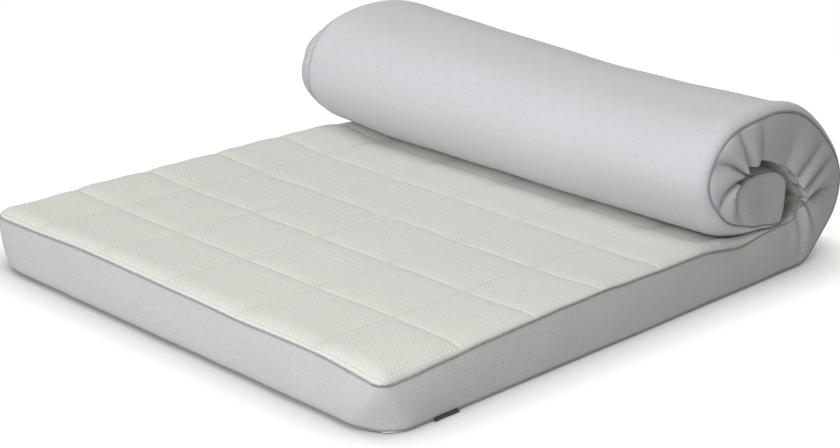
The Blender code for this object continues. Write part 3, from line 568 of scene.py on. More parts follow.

# Double knit of viscose and polyester, cream and matt, blistered in a honeycomb 7 mm apart over ribs
# 2 mm apart. Stitches of pale thread, 4 mm long, lie in the quilting lines, a little greyer than the knit,
# partly as painted shade of the grooves
material, tree, to, flat_mm = new_material("blistered_double_knit", 0.92, sheen=0.2)
blisters = honeycomb(tree, flat_mm, 7.0)
ribs = ripple(tree, flat_mm, 2.0, 1.1)
where = add_node(tree, "ShaderNodeTexCoord", give="Object")
cloud = add_node(tree, "ShaderNodeTexNoise", {"Vector": where, "Scale": 9.0})
cream = add_node(tree, "ShaderNodeMix", {0: cloud, 6: linear("#E0E0DC"), 7: linear("#E5E5E1")}, give=2,
                 data_type="RGBA")
# Painted shade: the knit is painted darker in the hollows between the blisters.
between = add_node(tree, "ShaderNodeMapRange", {0: blisters, 1: 0.4, 2: -0.5, 4: 0.5})
knit = add_node(tree, "ShaderNodeMix", {0: between, 6: cream, 7: linear("#D0D0CA")}, give=2,
                data_type="RGBA")
first_lines = (1000 * LENGTHWISE_LINES[0], 1000 * CROSSWISE_LINES[0], 0.0)
centred = add_node(tree, "ShaderNodeVectorMath", {0: flat_mm, 1: first_lines}, operation="SUBTRACT")
apart = 500 * QUILT_PITCH
cell_high, cell_low = (apart, apart, 1.0), (-apart, -apart, -1.0)
wrapped = add_node(tree, "ShaderNodeVectorMath", {0: centred, 1: cell_high, 2: cell_low},
                   operation="WRAP")
thread = 0.0
for axis, along in (("X", math.pi / 2), ("Y", 0.0)):
    aside = add_node(tree, "ShaderNodeSeparateXYZ", {0: wrapped}, give=axis)
    away = add_node(tree, "ShaderNodeMath", {0: aside}, operation="ABSOLUTE")
    on_line = add_node(tree, "ShaderNodeMapRange", {0: away, 1: 0.9, 2: 0.5})
    stitch = add_node(tree, "ShaderNodeMapRange", {0: ripple(tree, flat_mm, 4.0, along), 1: -0.6, 2: -0.3})
    one = add_node(tree, "ShaderNodeMath", {0: on_line, 1: stitch}, operation="MULTIPLY")
    thread = add_node(tree, "ShaderNodeMath", {0: one, 1: thread}, operation="MAXIMUM")
# The stitch colour is partly the thread and partly painted shade of the quilting grooves.
add_node(tree, "ShaderNodeMix", {0: thread, 6: knit, 7: linear("#CDCDC6")}, give=2, to=to["Base Color"],
         data_type="RGBA")
raised = add_node(tree, "ShaderNodeMath", {0: ribs, 1: 0.2, 2: blisters}, operation="MULTIPLY_ADD")
raised = add_node(tree, "ShaderNodeMath", {0: thread, 1: 0.8, 2: raised}, operation="MULTIPLY_ADD")
add_node(tree, "ShaderNodeBump", {"Height": raised, "Distance": 0.0003}, to=to["Normal"])
finish_piece(quilt, material, "topper", "quilted_knit", "top_quilt")


# Wadding and scrim under the face: a soft layer of polyester fibre and a thin backing cloth, both
# caught by the quilting lines, so the wadding swells into the squares.
SCRIM_BASE = 0.0846
SCRIM_TOP = 0.0852
WADDING_BASE = 0.0855
WADDING_RISE = 0.0038
WADDING_INSET = 0.030

xs, ss = slab_lines(WADDING_INSET, 0.004, 0.008)
grid_x, grid_s = np.meshgrid(xs, ss)
swell = pillow(grid_x, LENGTHWISE_LINES) * pillow(grid_s, CROSSWISE_LINES)
wadding_top = WADDING_BASE + WADDING_RISE * (0.7 + 0.3 * swell)
wadding = slab("fibre_wadding", xs, ss, WADDING_BASE + 0 * grid_x, wadding_top)
scrim = slab("backing_scrim", xs, ss, SCRIM_BASE + 0 * grid_x, SCRIM_TOP + 0 * grid_x)

# Carded polyester, white and matt, with fibres that show as fine streaks
material, tree, to, _ = new_material("carded_polyester", 0.95)
where = add_node(tree, "ShaderNodeTexCoord", give="Object")
fibres = add_node(tree, "ShaderNodeTexNoise", {"Vector": where, "Scale": 400.0, "Detail": 6.0})
add_node(tree, "ShaderNodeMix", {0: fibres, 6: linear("#E8E8E6"), 7: linear("#F6F6F4")},
         give=2, to=to["Base Color"], data_type="RGBA")
add_node(tree, "ShaderNodeBump", {"Height": fibres, "Distance": 0.0008}, to=to["Normal"])
finish_piece(wadding, material, "topper", "quilt_fibre", "quilt_wadding")

# Spunbond polypropylene, white, embossed with points 1.5 mm apart
material, tree, to, flat_mm = new_material("spunbond_scrim", 0.9)
embossed = honeycomb(tree, flat_mm, 1.5)
add_node(tree, "ShaderNodeMix", {0: embossed, 6: linear("#E4E4E2"), 7: linear("#EEEEEC")},
         give=2, to=to["Base Color"], data_type="RGBA")
add_node(tree, "ShaderNodeBump", {"Height": embossed, "Distance": 0.0001}, to=to["Normal"])
finish_piece(scrim, material, "topper", "quilt_scrim", "quilt_scrim")


# Border: a band of white 3D spacer mesh round the whole topper, sewn to the face above and to the
# underside below. It bellies out between its seams. In the roll it gathers into soft folds that
# are deep at the squeezed upper seam and run out before the lower one.
LOWER_SEAM = 0.0030
NEAR_CLIMB = 0.0125
LOWER_INSET = -0.0020
FRONT_TUCK = 0.009
FAR_TUCK = 0.006
NEAR_TUCK = 0.0065
BORDER_BELLY = 0.0065
FAR_BELLY = 0.037
CURL_START = 0.80
CURL_LIP = 0.005
BORDER_CLOTH = 0.003
SEAM_ROOM = PIPING_RADIUS * 0.6
ZIP_START = 0.0746
ZIP_END = FLAT_RUN - 0.030
ZIP_HEIGHT = 0.04475
ZIP_SLOT = 0.0092
ZIP_FACE_INSET = 0.0010
SLOT_LOW = 0.44
FLAT_FROM = (0.035, 0.0586)
FLAT_UNTIL = (ZIP_END + 0.020, ZIP_END + 0.060)
CORNER_STEPS = 12


def far_roll(x, s):
    """1 at the far end of the roll, where the cover sits askew and the border wraps round the edge."""
    return ease(-0.3, 0.3, -x) * in_roll(s)


def lower_seam(x, s):
    """Height of the lower seam: at the floor on the flat stretch, drawn in at the roll's near end."""
    near = ease(-0.3, 0.3, x) * ease(FLAT_RUN + 0.10, FLAT_RUN + 0.26, s)
    return LOWER_SEAM + NEAR_CLIMB * near - 0.0015 * far_roll(x, s)


def lower_inset(x, s):
    """How far in the lower seam lies along the sides."""
    near = NEAR_TUCK * ease(-0.3, 0.3, x) * ease(FLAT_RUN, FLAT_RUN + 0.20, s)
    return LOWER_INSET + near + FAR_TUCK * far_roll(x, s)


def side_lines(start, extra=()):
    """Stations along a long side, close together in the bends."""
    parts = [np.arange(start, FLAT_RUN, 0.007), np.arange(FLAT_RUN, BEND_STARTS[3], 0.0024),
             np.arange(BEND_STARTS[3], SLAB_LENGTH - TAIL_CORNER - 0.002, 0.005),
             [SLAB_LENGTH - TAIL_CORNER]]
    lines = np.concatenate(parts)
    for value in extra:
        lines[np.argmin(np.abs(lines - value))] = value
    return lines


def outline():
    """Stations round the topper, the last on the first: place, outward turn, and whether in a corner."""
    end = np.linspace(-half + LOWER_CORNER + LEFT_ROUNDER, half - LOWER_CORNER, 121)
    tail = np.linspace(half - TAIL_CORNER, -half + TAIL_CORNER, 121)
    turns = np.radians(np.arange(1, CORNER_STEPS) * 90 / CORNER_STEPS)
    right = side_lines(LOWER_CORNER)
    left = side_lines(LOWER_CORNER + LEFT_ROUNDER, (ZIP_START, ZIP_END))[::-1]
    runs = []
    for x, s, towards in ((np.full(len(right), half), right, 0), (tail, np.full(len(tail), SLAB_LENGTH), 1),
                          (np.full(len(left), -half), left, 2), (end, np.zeros(len(end)), 3)):
        runs.append((x, s, np.full(len(x), math.pi / 2 * towards), np.zeros(len(x), bool)))
        runs.append((0 * turns, 0 * turns, math.pi / 2 * towards + turns, np.ones(len(turns), bool)))
    runs.append(([half], [LOWER_CORNER], [2 * math.pi], [False]))
    return [np.concatenate(column) for column in zip(*runs)]


STATION_X, STATION_S, STATION_TURN, IN_CORNER = outline()
OUT_X = np.round(np.cos(STATION_TURN), 9)
OUT_S = np.round(np.sin(STATION_TURN), 9)


def round_outline(inset, corner):
    """X and s of every station, for a line set in from the outline."""
    corner = corner_at(corner, OUT_X, np.where(OUT_S > 0, SLAB_LENGTH, 0.0))
    x = np.where(IN_CORNER, np.sign(OUT_X) * (half - corner) + (corner - inset) * OUT_X,
                 STATION_X - inset * OUT_X)
    s_corner = np.where(OUT_S > 0, SLAB_LENGTH - corner, corner)
    s = np.where(IN_CORNER, s_corner + (corner - inset) * OUT_S, STATION_S - inset * OUT_S)
    return x, s


ROUND_X, ROUND_S = round_outline(0.0, LOWER_CORNER)
ALONG = np.concatenate([[0], np.cumsum(np.hypot(np.diff(ROUND_X), np.diff(ROUND_S)))])
ON_SIDE = np.abs(OUT_X) > 0.999
AT_ZIP = np.where(OUT_X < 0, ease(*FLAT_FROM, ROUND_S) * (1 - ease(*FLAT_UNTIL, ROUND_S)), 0)


def border_line(v, push=0.0, lift=0.0, belly=1.0):
    """Points of the border at share v of its height, from the lower seam to the upper one."""
    corner = LOWER_CORNER + (UPPER_CORNER - LOWER_CORNER) * ease(0.1, 1, v)
    rolled, far = past_flat(ROUND_S) * np.abs(OUT_X), far_roll(ROUND_X, ROUND_S) * ON_SIDE
    low_in = lower_inset(ROUND_X, ROUND_S)
    low_in = low_in + (FRONT_TUCK - low_in) * np.maximum(0, -OUT_S) ** 2
    wrap = np.maximum(far, np.maximum(0, -OUT_S) ** 2)
    in_corner = np.abs(2 * OUT_X * OUT_S)
    full = BORDER_BELLY * (1 + 0.25 * slow_waves(ROUND_X * 1.3, ROUND_S, 12)) * (1 - 0.5 * in_corner)
    loose = far * ease(1.56, 1.71, ROUND_S)
    arch = np.sin(math.pi * v ** (0.9 - 0.3 * loose)) ** 0.8
    full = (full + (FAR_BELLY - BORDER_BELLY) * loose) * belly * arch
    start = (1 - wrap) * (1 - v) + wrap * max(0, 1 - v / 0.30) ** 2
    inset = low_in * start + UPPER_INSET * v - full
    inset = inset + UPPER_TUCK * rolled * ease(CURL_START, 1.0, v)
    at_slot = ZIP_FACE_INSET + ((UPPER_INSET if v > 0.5 else LOWER_INSET) - ZIP_FACE_INSET) * (2 * v - 1) ** 2
    inset = inset + (at_slot - inset) * AT_ZIP
    depth, rise = gathers(OUT_X, ROUND_S, v)
    depth = np.where(ON_SIDE, depth, 0.0)
    x, s = round_outline(inset - push - depth * (rise - 0.35) * v ** 0.55, corner)
    low = lower_seam(x, s) + SEAM_ROOM
    high = upper_seam(x, s) + 0.4 * depth * (rise - 0.5) - SEAM_ROOM
    share = v + rolled * (min(1, v / 0.86) - v) + wrap * (v ** 1.4 - v) * (1 - rolled)
    n = low + (high - low) * share + CURL_LIP * rolled * math.sin(math.pi * min(1, max(0, (v - 0.68) / 0.32)))
    zip_n = low + (ZIP_HEIGHT - ZIP_SLOT / 2 - low) * v / SLOT_LOW if v < 0.5 else \
        high - (high - ZIP_HEIGHT - ZIP_SLOT / 2) * (1 - v) / SLOT_LOW
    return place(x, s, n + (zip_n - n) * AT_ZIP + lift, 0.0)


def welded(piece):
    """Joins the first and last line of a piece that goes all the way round."""
    select_only(piece)
    bpy.ops.object.mode_set(mode="EDIT")
    bpy.ops.mesh.select_all(action="SELECT")
    bpy.ops.mesh.remove_doubles(threshold=0.00002)
    bpy.ops.object.mode_set(mode="OBJECT")
    return piece


levels = np.concatenate([[0, 0.02, 0.045, 0.08, 0.12], np.linspace(0.17, SLOT_LOW, 6),
                         np.linspace(1 - SLOT_LOW, 0.80, 6), np.linspace(0.83, 1, 8)])
low_rows = int(np.sum(levels < 0.5))
points = np.array([border_line(v) for v in levels])

# The flat map of each row: as long as the outline on the sides, and spread evenly round each corner
flat = []
for v in levels:
    x, s = round_outline(0.0, LOWER_CORNER + (UPPER_CORNER - LOWER_CORNER) * float(ease(0.1, 1, v)))
    run = np.concatenate([[0], np.cumsum(np.hypot(np.diff(x), np.diff(s)))])
    along = np.interp(run, run[~IN_CORNER], ALONG[~IN_CORNER])
    flat.append(np.stack([along, np.full(len(along), v * (UPPER_SEAM - LOWER_SEAM))], axis=-1))
count = points.shape[1]
in_slot = (OUT_X < -0.999) & (STATION_S > ZIP_START + 1e-6) & (STATION_S <= ZIP_END + 1e-6)
slot_faces = {((low_rows - 1) * count + j) for j in np.nonzero(in_slot)[0]}
faces = [face for face in grid_faces(len(levels), count) if face[0] not in slot_faces]
border = welded(new_piece("mesh_band", points, faces, flat))
apply_modifier(border, "SOLIDIFY", thickness=BORDER_CLOTH, offset=-1.0)

# Polyester spacer mesh, white with a cool cast, with holes 3.7 mm apart in slanting rows. The holes are
# painted darker, as painted shade inside them, so the cloth looks finely pitted
material, tree, to, flat_mm = new_material("polyester_spacer_mesh", 0.85, sheen=0.15)
cells = honeycomb(tree, flat_mm, 3.7, 0.35)
# Painted shade: the middles of the mesh cells, which are its holes, are painted darker.
painted_hole_shade = add_node(tree, "ShaderNodeMapRange", {0: cells, 1: 0.0, 2: 0.8, 4: 0.40})
where = add_node(tree, "ShaderNodeTexCoord", give="Object")
cloud = add_node(tree, "ShaderNodeTexNoise", {"Vector": where, "Scale": 12.0})
white = add_node(tree, "ShaderNodeMix", {0: cloud, 6: linear("#CAC7CB"), 7: linear("#D1CED2")}, give=2,
                 data_type="RGBA")
add_node(tree, "ShaderNodeMix", {0: painted_hole_shade, 6: white, 7: linear("#A19EA4")}, give=2, to=to["Base Color"],
         data_type="RGBA")
add_node(tree, "ShaderNodeBump", {"Height": cells, "Distance": 0.0004}, to=to["Normal"], invert=True)
finish_piece(border, material, "topper", "spacer_mesh", "mesh_border")


# Underside of the cover: a smooth white knit with a staggered grid of faint grey dots. It lies on
# the bed along the flat stretch and is the outside of the roll. At the near end its edge stands out
# as a soft round band before it turns in to the seam.
PANEL_CLOTH = 0.0018
PANEL_EDGE_ROLL = 0.024
FAR_EDGE_ROLL = 0.006
WELT = -0.0009
DOT_PITCH = 34.0
DOT_RADIUS = 1.9

edge = UPPER_INSET + PANEL_EDGE_ROLL * (1 - np.sin(np.pi / 2 * np.arange(9) / 8))[::-1]
xs = np.concatenate([-half + edge[:-1], np.linspace(-half + edge[-1], half - 0.072, 55),
                     np.linspace(half - 0.069, half - edge[-1], 13), (half - edge[:-1])[::-1]])
ss = np.concatenate([edge[:-1], np.arange(edge[-1], FLAT_RUN, 0.016),
                     np.arange(FLAT_RUN, BEND_STARTS[3], 0.005),
                     np.linspace(BEND_STARTS[3], SLAB_LENGTH - edge[-1], 14),
                     (SLAB_LENGTH - edge[:-1])[::-1]])
grid_x, grid_s = np.meshgrid(xs, ss)
inset = np.minimum(half - np.abs(grid_x), np.minimum(grid_s, SLAB_LENGTH - grid_s))
near_roll = ease(-0.3, 0.3, grid_x) * ease(FLAT_RUN, FLAT_RUN + 0.2, grid_s)
edge_roll = FAR_EDGE_ROLL + (PANEL_EDGE_ROLL - FAR_EDGE_ROLL) * near_roll
turn = np.clip(1 - (inset - UPPER_INSET) / edge_roll, 0, 1)
rolled = in_roll(grid_s, 0.20)
seam = lower_seam(grid_x, grid_s) - SEAM_ROOM
uneven = 0.0008 * slow_waves(grid_x, grid_s, 21) * rolled * (1 - turn)
band = WELT * (hump(grid_x, half - 0.022, 0.009) - 0.5 * hump(grid_x, half - 0.043, 0.007)) * rolled
n = seam * (1 - np.sqrt(np.maximum(0, 1 - turn ** 2))) + uneven + band
slide = (UPPER_INSET - lower_inset(grid_x, grid_s)) * (1 - ease(UPPER_INSET, 0.04, half - np.abs(grid_x)))
end_slide = (UPPER_INSET - FRONT_TUCK) * (1 - ease(UPPER_INSET, 0.05, grid_s))
points = place(grid_x + np.sign(grid_x) * slide, grid_s - end_slide, n, LOWER_CORNER)
panel = new_piece("underside_knit", points, grid_faces(*grid_x.shape, turned=True),
                  np.stack([grid_x, grid_s], axis=-1))
apply_modifier(panel, "SOLIDIFY", thickness=PANEL_CLOTH, offset=-1.0)

# Brushed polyester knit, white and soft, with fine ribs and printed dots 3.8 mm across in a staggered grid
material, tree, to, flat_mm = new_material("smooth_knit", 0.8, sheen=0.3)
nearest = 1000.0
reach = DOT_PITCH / 2
cell_high, cell_low = (reach, reach, 1.0), (-reach, -reach, -1.0)
for start in (0.0, DOT_PITCH / 2):
    moved = add_node(tree, "ShaderNodeVectorMath", {0: flat_mm, 1: (start, start, 0.0)}, operation="ADD")
    wrapped = add_node(tree, "ShaderNodeVectorMath", {0: moved, 1: cell_high, 2: cell_low},
                       operation="WRAP")
    away = add_node(tree, "ShaderNodeVectorMath", {0: wrapped}, give="Value", operation="LENGTH")
    nearest = add_node(tree, "ShaderNodeMath", {0: away, 1: nearest}, operation="MINIMUM")
dot = add_node(tree, "ShaderNodeMapRange", {0: nearest, 1: DOT_RADIUS * 1.3, 2: DOT_RADIUS * 0.7, 4: 0.30})
where = add_node(tree, "ShaderNodeTexCoord", give="Object")
cloud = add_node(tree, "ShaderNodeTexNoise", {"Vector": where, "Scale": 7.0})
white = add_node(tree, "ShaderNodeMix", {0: cloud, 6: linear("#D3D2D9"), 7: linear("#D9D8DF")}, give=2,
                 data_type="RGBA")
add_node(tree, "ShaderNodeMix", {0: dot, 6: white, 7: linear("#AEADB6")}, give=2, to=to["Base Color"],
         data_type="RGBA")
ribs = ripple(tree, flat_mm, 1.4, 0.0)
add_node(tree, "ShaderNodeBump", {"Height": ribs, "Distance": 0.00012}, to=to["Normal"])
finish_piece(panel, material, "topper", "smooth_knit", "bottom_panel")


# Piping in both seams: a thin cord in a bias strip of grey-mauve woven cloth, sewn in between the
# border and the faces. It follows every gather of the seam.
PIPING_SIDES = 8
PIPING_STRIP = 0.0094
PIPING_STAND = 0.0004

PIPES = {}
for name, v, side in (("upper", 1.0, 1), ("lower", 0.0, -1)):
    rings = []
    for k in range(PIPING_SIDES + 1):
        turn = 2 * math.pi * k / PIPING_SIDES
        lift = PIPING_RADIUS * math.sin(turn) + side * SEAM_ROOM
        rings.append(border_line(v, push=PIPING_RADIUS * math.cos(turn) + PIPING_STAND, lift=lift,
                                 belly=0.0))
    points = np.array(rings)
    across = np.linspace(0, PIPING_STRIP, PIPING_SIDES + 1)[:, None]
    flat = np.stack([np.broadcast_to(ALONG, points.shape[:2]),
                     np.broadcast_to(across, points.shape[:2])], axis=-1)
    PIPES[name] = welded(new_piece(name + "_seam_cord", points,
                                   grid_faces(PIPING_SIDES + 1, points.shape[1], turned=True), flat))

# Polyester twill on the bias, grey-mauve and matt, with ridges 0.8 mm apart that run slanting round the cord
material, tree, to, flat_mm = new_material("bias_twill", 0.85, sheen=0.1)
ridges = ripple(tree, flat_mm, 0.8, 0.8)
share = add_node(tree, "ShaderNodeMapRange", {0: ridges, 1: -1.0, 2: 1.0})
add_node(tree, "ShaderNodeMix", {0: share, 6: linear("#AAA5AB"), 7: linear("#BEB9BF")},
         give=2, to=to["Base Color"], data_type="RGBA")
add_node(tree, "ShaderNodeBump", {"Height": ridges, "Distance": 0.0002}, to=to["Normal"])
finish_piece(PIPES["upper"], material, "topper", "piping_cord", "upper_piping")
finish_piece(PIPES["lower"], material, "topper", "piping_cord", "lower_piping")


# Zip tapes: two woven strips sewn behind the slot in the border of the left side. Their inner edges
# stay a little apart, so that the slider's web runs between them.
TAPE_INSET = 0.0044
TAPE_CLOTH = 0.0006
TAPE_SPLIT = 0.0007
TAPE_LAP = 0.009
TAPE_ENDS = (0.0705, FLAT_RUN - 0.030)

tape_s = np.linspace(*TAPE_ENDS, 120)
tape_n = np.linspace(TAPE_SPLIT, ZIP_SLOT / 2 + TAPE_LAP, 6)
grid_s, grid_n = np.meshgrid(tape_s, tape_n)
TAPES = {}
for name, side in (("upper", 1), ("lower", -1)):
    points = place(-half + TAPE_INSET + 0 * grid_s, grid_s, ZIP_HEIGHT + side * grid_n, 0.0)
    tape = new_piece(name + "_zip_tape", points, grid_faces(*grid_s.shape, turned=side < 0),
                     np.stack([grid_s, grid_n], axis=-1))
    TAPES[name] = apply_modifier(tape, "SOLIDIFY", thickness=TAPE_CLOTH, offset=-1.0)

# Woven polyester tape, white, with ribs 1.2 mm apart across it and a herringbone of 3 mm
material, tree, to, flat_mm = new_material("woven_zip_tape", 0.8)
across = ripple(tree, flat_mm, 1.2, 0.0)
slant = ripple(tree, flat_mm, 3.0, 0.9)
weave = add_node(tree, "ShaderNodeMath", {0: across, 1: slant}, operation="ADD")
share = add_node(tree, "ShaderNodeMapRange", {0: weave, 1: -2.0, 2: 2.0})
add_node(tree, "ShaderNodeMix", {0: share, 6: linear("#CFCDD0"), 7: linear("#E2E0E2")},
         give=2, to=to["Base Color"], data_type="RGBA")
add_node(tree, "ShaderNodeBump", {"Height": weave, "Distance": 0.0002}, to=to["Normal"])
for name, tape in TAPES.items():
    finish_piece(tape, material, "topper", "zip_tape", "zip_tape_" + name)


# Zip coils: a nylon thread wound in small oval loops and sewn along the edge of each tape. The loops
# stop short of the middle, where the slider's web passes.
COIL_RUN = (0.0746, 1.0208)
COIL_PITCH = 0.0016
COIL_WIRE = 0.0003
COIL_INSET = 0.00285
COIL_MIDDLE = 0.0019
COIL_HALF_DEPTH = 0.00085
COIL_HALF_HEIGHT = 0.0009
LOOP_STEPS = 10
WIRE_SIDES = 4

steps = int((COIL_RUN[1] - COIL_RUN[0] - 2 * COIL_WIRE) / COIL_PITCH * LOOP_STEPS)
angle = np.arange(steps + 1) * 2 * np.pi / LOOP_STEPS
around = np.arange(WIRE_SIDES + 1) * 2 * np.pi / WIRE_SIDES
COILS = {}
for name, side in (("upper", 1), ("lower", -1)):
    out = np.cos(angle)[None, :] * (COIL_HALF_DEPTH + COIL_WIRE * np.cos(around)[:, None])
    up = np.sin(angle)[None, :] * (COIL_HALF_HEIGHT + COIL_WIRE * np.cos(around)[:, None])
    along = COIL_RUN[0] + COIL_WIRE + angle * COIL_PITCH / (2 * np.pi) + COIL_WIRE * np.sin(around)[:, None]
    points = place(-half + COIL_INSET + out, along, ZIP_HEIGHT + side * (COIL_MIDDLE + up), 0.0)
    flat = np.stack([along, np.broadcast_to(around[:, None] * COIL_WIRE, along.shape)], axis=-1)
    faces = grid_faces(*along.shape, turned=side > 0)
    for end, turned in ((0, side < 0), (steps, side > 0)):
        cap = tuple(k * (steps + 1) + end for k in range(WIRE_SIDES))
        faces.append(cap[::-1] if turned else cap)
    COILS[name] = welded(new_piece(name + "_zip_coil", points, faces, flat))

# Nylon monofilament, white and slightly glossy, a little uneven from the winding
material, tree, to, _ = new_material("nylon_monofilament", 0.35)
to["IOR"].default_value = 1.53
where = add_node(tree, "ShaderNodeTexCoord", give="Object")
cloud = add_node(tree, "ShaderNodeTexNoise", {"Vector": where, "Scale": 120.0})
add_node(tree, "ShaderNodeMix", {0: cloud, 6: linear("#D8D7DA"), 7: linear("#EAE9EB")},
         give=2, to=to["Base Color"], data_type="RGBA")
add_node(tree, "ShaderNodeBump", {"Height": cloud, "Distance": 0.0001}, to=to["Normal"])
for name, coil in COILS.items():
    finish_piece(coil, material, "topper", "zip_coil", "zip_coil_" + name)


# Slider, pull and end stops: small zinc castings, tumbled smooth and nickel plated. Their CAD shapes
# are right and stay, with a better finish.
material, tree, to, _ = new_material("nickel_plated_zinc", 0.3, metallic=1.0)
where = add_node(tree, "ShaderNodeTexCoord", give="Object")
marks = add_node(tree, "ShaderNodeTexNoise", {"Vector": where, "Scale": 700.0, "Detail": 4.0})
add_node(tree, "ShaderNodeMix", {0: marks, 6: linear("#A9A7A4"), 7: linear("#CFCDC9")},
         give=2, to=to["Base Color"], data_type="RGBA")
add_node(tree, "ShaderNodeMapRange", {0: marks, 3: 0.2, 4: 0.42}, to=to["Roughness"])
add_node(tree, "ShaderNodeBump", {"Height": marks, "Distance": 0.00005}, to=to["Normal"])
for name in ("zip_slider", "zip_pull", "zip_front_stop", "zip_rear_stop"):
    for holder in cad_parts[name].material_slots:
        holder.material = material


# Side tab: a small loop of dark woven ribbon, folded flat and sewn into the lower seam of the near side
# with its cut ends inside. It droops on the floor and is left blank.
TAB_RUN = (0.105, 0.155)
TAB_OUT = 0.0080
TAB_RIBBON = 0.0006
TAB_SEAM_X = half - 0.0015
TAB_SEAM_Z = 0.0052
TAB_DROOP = 0.0030
FOLD_OUT = 0.0007
FOLD_RADIUS = 0.0008
TAB_CURL = 0.0006
TAB_OFF_FLOOR = 0.0003

fold = np.linspace(0, 1, 9)
upper_x, upper_z = TAB_SEAM_X + TAB_OUT * fold, TAB_SEAM_Z - TAB_DROOP * fold ** 1.5
bend_turn = np.radians((60, 20, -20, -60))
bend_x = upper_x[-1] + FOLD_OUT * np.cos(bend_turn)
bend_z = upper_z[-1] - FOLD_RADIUS + FOLD_RADIUS * np.sin(bend_turn)
ribbon_x = np.concatenate([upper_x, bend_x, upper_x[::-1]])
ribbon_z = np.concatenate([upper_z, bend_z, upper_z[::-1] - 2 * FOLD_RADIUS])
ribbon_x, tab_s = np.meshgrid(ribbon_x, np.linspace(*TAB_RUN, 13))
curl = TAB_CURL * np.sin((tab_s - TAB_RUN[0]) * 90) * (ribbon_x - TAB_SEAM_X) / TAB_OUT
tab_z = ribbon_z[None, :] + curl
tab_points = np.stack([ribbon_x, FRONT_Y + tab_s, np.maximum(tab_z, TAB_OFF_FLOOR)], axis=-1)
laid_out = np.broadcast_to(np.linspace(0, 2 * TAB_OUT, ribbon_x.shape[1]), tab_s.shape)
tab_flat = np.stack([laid_out, tab_s], axis=-1)
tab = new_piece("blank_side_tab", tab_points, grid_faces(*tab_s.shape, turned=True), tab_flat)
apply_modifier(tab, "SOLIDIFY", thickness=TAB_RIBBON, offset=-1.0)

# Damask-woven polyester ribbon, black and slightly shiny, with ribs 0.7 mm apart
material, tree, to, flat_mm = new_material("woven_black_ribbon", 0.6, sheen=0.2)
ribs = ripple(tree, flat_mm, 0.7, math.pi / 2)
share = add_node(tree, "ShaderNodeMapRange", {0: ribs, 1: -1.0, 2: 1.0})
add_node(tree, "ShaderNodeMix", {0: share, 6: linear("#1E1E21"), 7: linear("#2E2E32")},
         give=2, to=to["Base Color"], data_type="RGBA")
add_node(tree, "ShaderNodeBump", {"Height": ribs, "Distance": 0.00015}, to=to["Normal"])
finish_piece(tab, material, "topper", "tab_weave", "side_tab")


# Floor, flag, lamps and camera: a plain pale floor that glows where nothing shades it, a dark flag
# beside the roll's end, and soft white light from the front, seen from the photograph's side.
FLOOR_GREY = 0.45
FLOOR_GLOW = 0.77
SHADE_REACH = 0.11
FLAG_X = 1.05
FLAG_END = 1.30
FLAG_FOOT = 0.12
FLAG_TOP = 1.2

bpy.ops.object.select_all(action="DESELECT")
bpy.ops.mesh.primitive_plane_add(size=40, location=(0, 0, -0.0005))
floor = bpy.context.active_object
floor.name = "studio_floor"
material, tree, to, _ = new_material("white_studio_floor", 1.0)
to["Base Color"].default_value = (FLOOR_GREY, FLOOR_GREY, FLOOR_GREY, 1.0)
to["Specular IOR Level"].default_value = 0.0
to["Emission Color"].default_value = (1.0, 1.0, 1.0, 1.0)
seen = add_node(tree, "ShaderNodeLightPath", give="Is Camera Ray")
# Painted shadow: the floor's glow to the camera fades by ambient occlusion near the topper.
painted_shadow_ao = add_node(tree, "ShaderNodeAmbientOcclusion", {"Distance": SHADE_REACH}, give="AO", samples=8)
faded = add_node(tree, "ShaderNodeMath", {0: painted_shadow_ao, 1: 1.6}, operation="POWER")
glow_with_painted_shadow = add_node(tree, "ShaderNodeMath", {0: faded, 1: FLOOR_GLOW}, operation="MULTIPLY")
# To other rays the floor glows faintly at 0.20, which is painted light that lights the topper from below.
add_node(tree, "ShaderNodeMapRange", {0: seen, 3: 0.20, 4: glow_with_painted_shadow}, to=to["Emission Strength"])
floor.data.materials.append(material)
floor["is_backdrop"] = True

# A dark flag beside the near end of the roll, out of the camera's sight, takes some light off that end
flag_points = [(FLAG_X, 0.0, FLAG_FOOT), (FLAG_X, FLAG_END, FLAG_FOOT), (FLAG_X, FLAG_END, FLAG_TOP),
               (FLAG_X, 0.0, FLAG_TOP)]
flag = new_piece("studio_flag", flag_points, [(0, 1, 2, 3)], [(0, 0)] * 4)
material, _, to, _ = new_material("black_flag_cloth", 1.0)
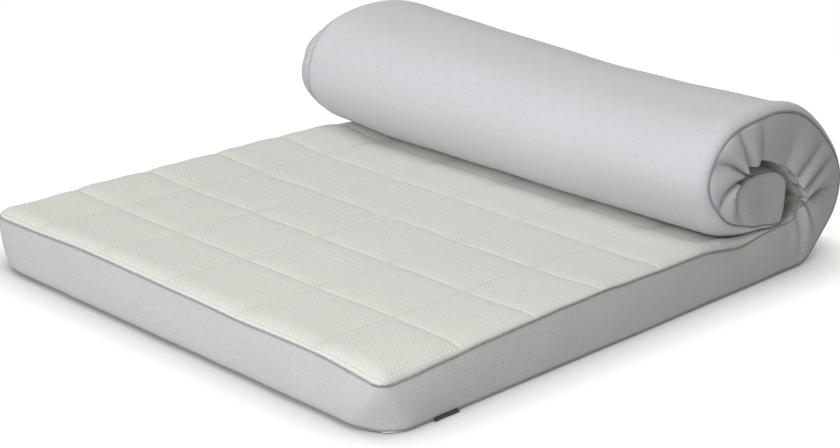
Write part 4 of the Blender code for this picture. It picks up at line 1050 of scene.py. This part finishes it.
to["Base Color"].default_value = (0.02, 0.02, 0.02, 1.0)
flag.data.materials.append(material)
flag.visible_camera = False
flag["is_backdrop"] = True

# The room: dim and a little warm on the object, plain white to the camera and in reflections
world = bpy.data.worlds.new("studio")
bpy.context.scene.world = world
world.use_nodes = True
tree = world.node_tree
seen = 0.0
for ray in ("Is Camera Ray", "Is Glossy Ray", "Is Transmission Ray"):
    seen = add_node(tree, "ShaderNodeMath", {0: add_node(tree, "ShaderNodeLightPath", give=ray), 1: seen},
                    operation="MAXIMUM")
backdrop = tree.nodes["Background"].inputs
add_node(tree, "ShaderNodeMapRange", {0: seen, 3: 0.39, 4: 1.0}, to=backdrop["Strength"])
add_node(tree, "ShaderNodeMix", {0: seen, 6: (1.0, 0.955, 0.87, 1.0), 7: (1.0, 1.0, 1.0, 1.0)}, give=2,
         to=backdrop["Color"], data_type="RGBA")

for name, place_at, size, power in (("front_softbox", (1.25, -4.0, 1.65), 2.4, 87.0),
                                    ("overhead_softbox", (0.4, -0.9, 3.0), 2.6, 37.0)):
    lamp = bpy.data.lights.new(name, "AREA")
    lamp.size = size
    lamp.energy = power
    lamp.color = (0.98, 0.995, 1.0)
    holder = bpy.data.objects.new(name, lamp)
    bpy.context.collection.objects.link(holder)
    holder.location = place_at
    holder.rotation_euler = (Vector((0, 0, 0.1)) - holder.location).to_track_quat("-Z", "Y").to_euler()

CAMERA_PLACE = Vector((2.0094, FRONT_Y - 1.6691, 1.1132))
CAMERA_AIM = Vector((-0.63212, 0.70117, -0.32982))
CAMERA_ROLL = math.radians(2.787)
lens = bpy.data.cameras.new("photo_camera")
lens.lens = 79.98
lens.sensor_width = 36
camera = bpy.data.objects.new("photo_camera", lens)
bpy.context.collection.objects.link(camera)
camera.location = CAMERA_PLACE
camera.rotation_mode = "QUATERNION"
camera.rotation_quaternion = CAMERA_AIM.to_track_quat("-Z", "Y") @ Quaternion((0, 0, 1), CAMERA_ROLL)
bpy.context.scene.camera = camera
bpy.context.scene.view_settings.view_transform = "Standard"

low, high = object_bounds()
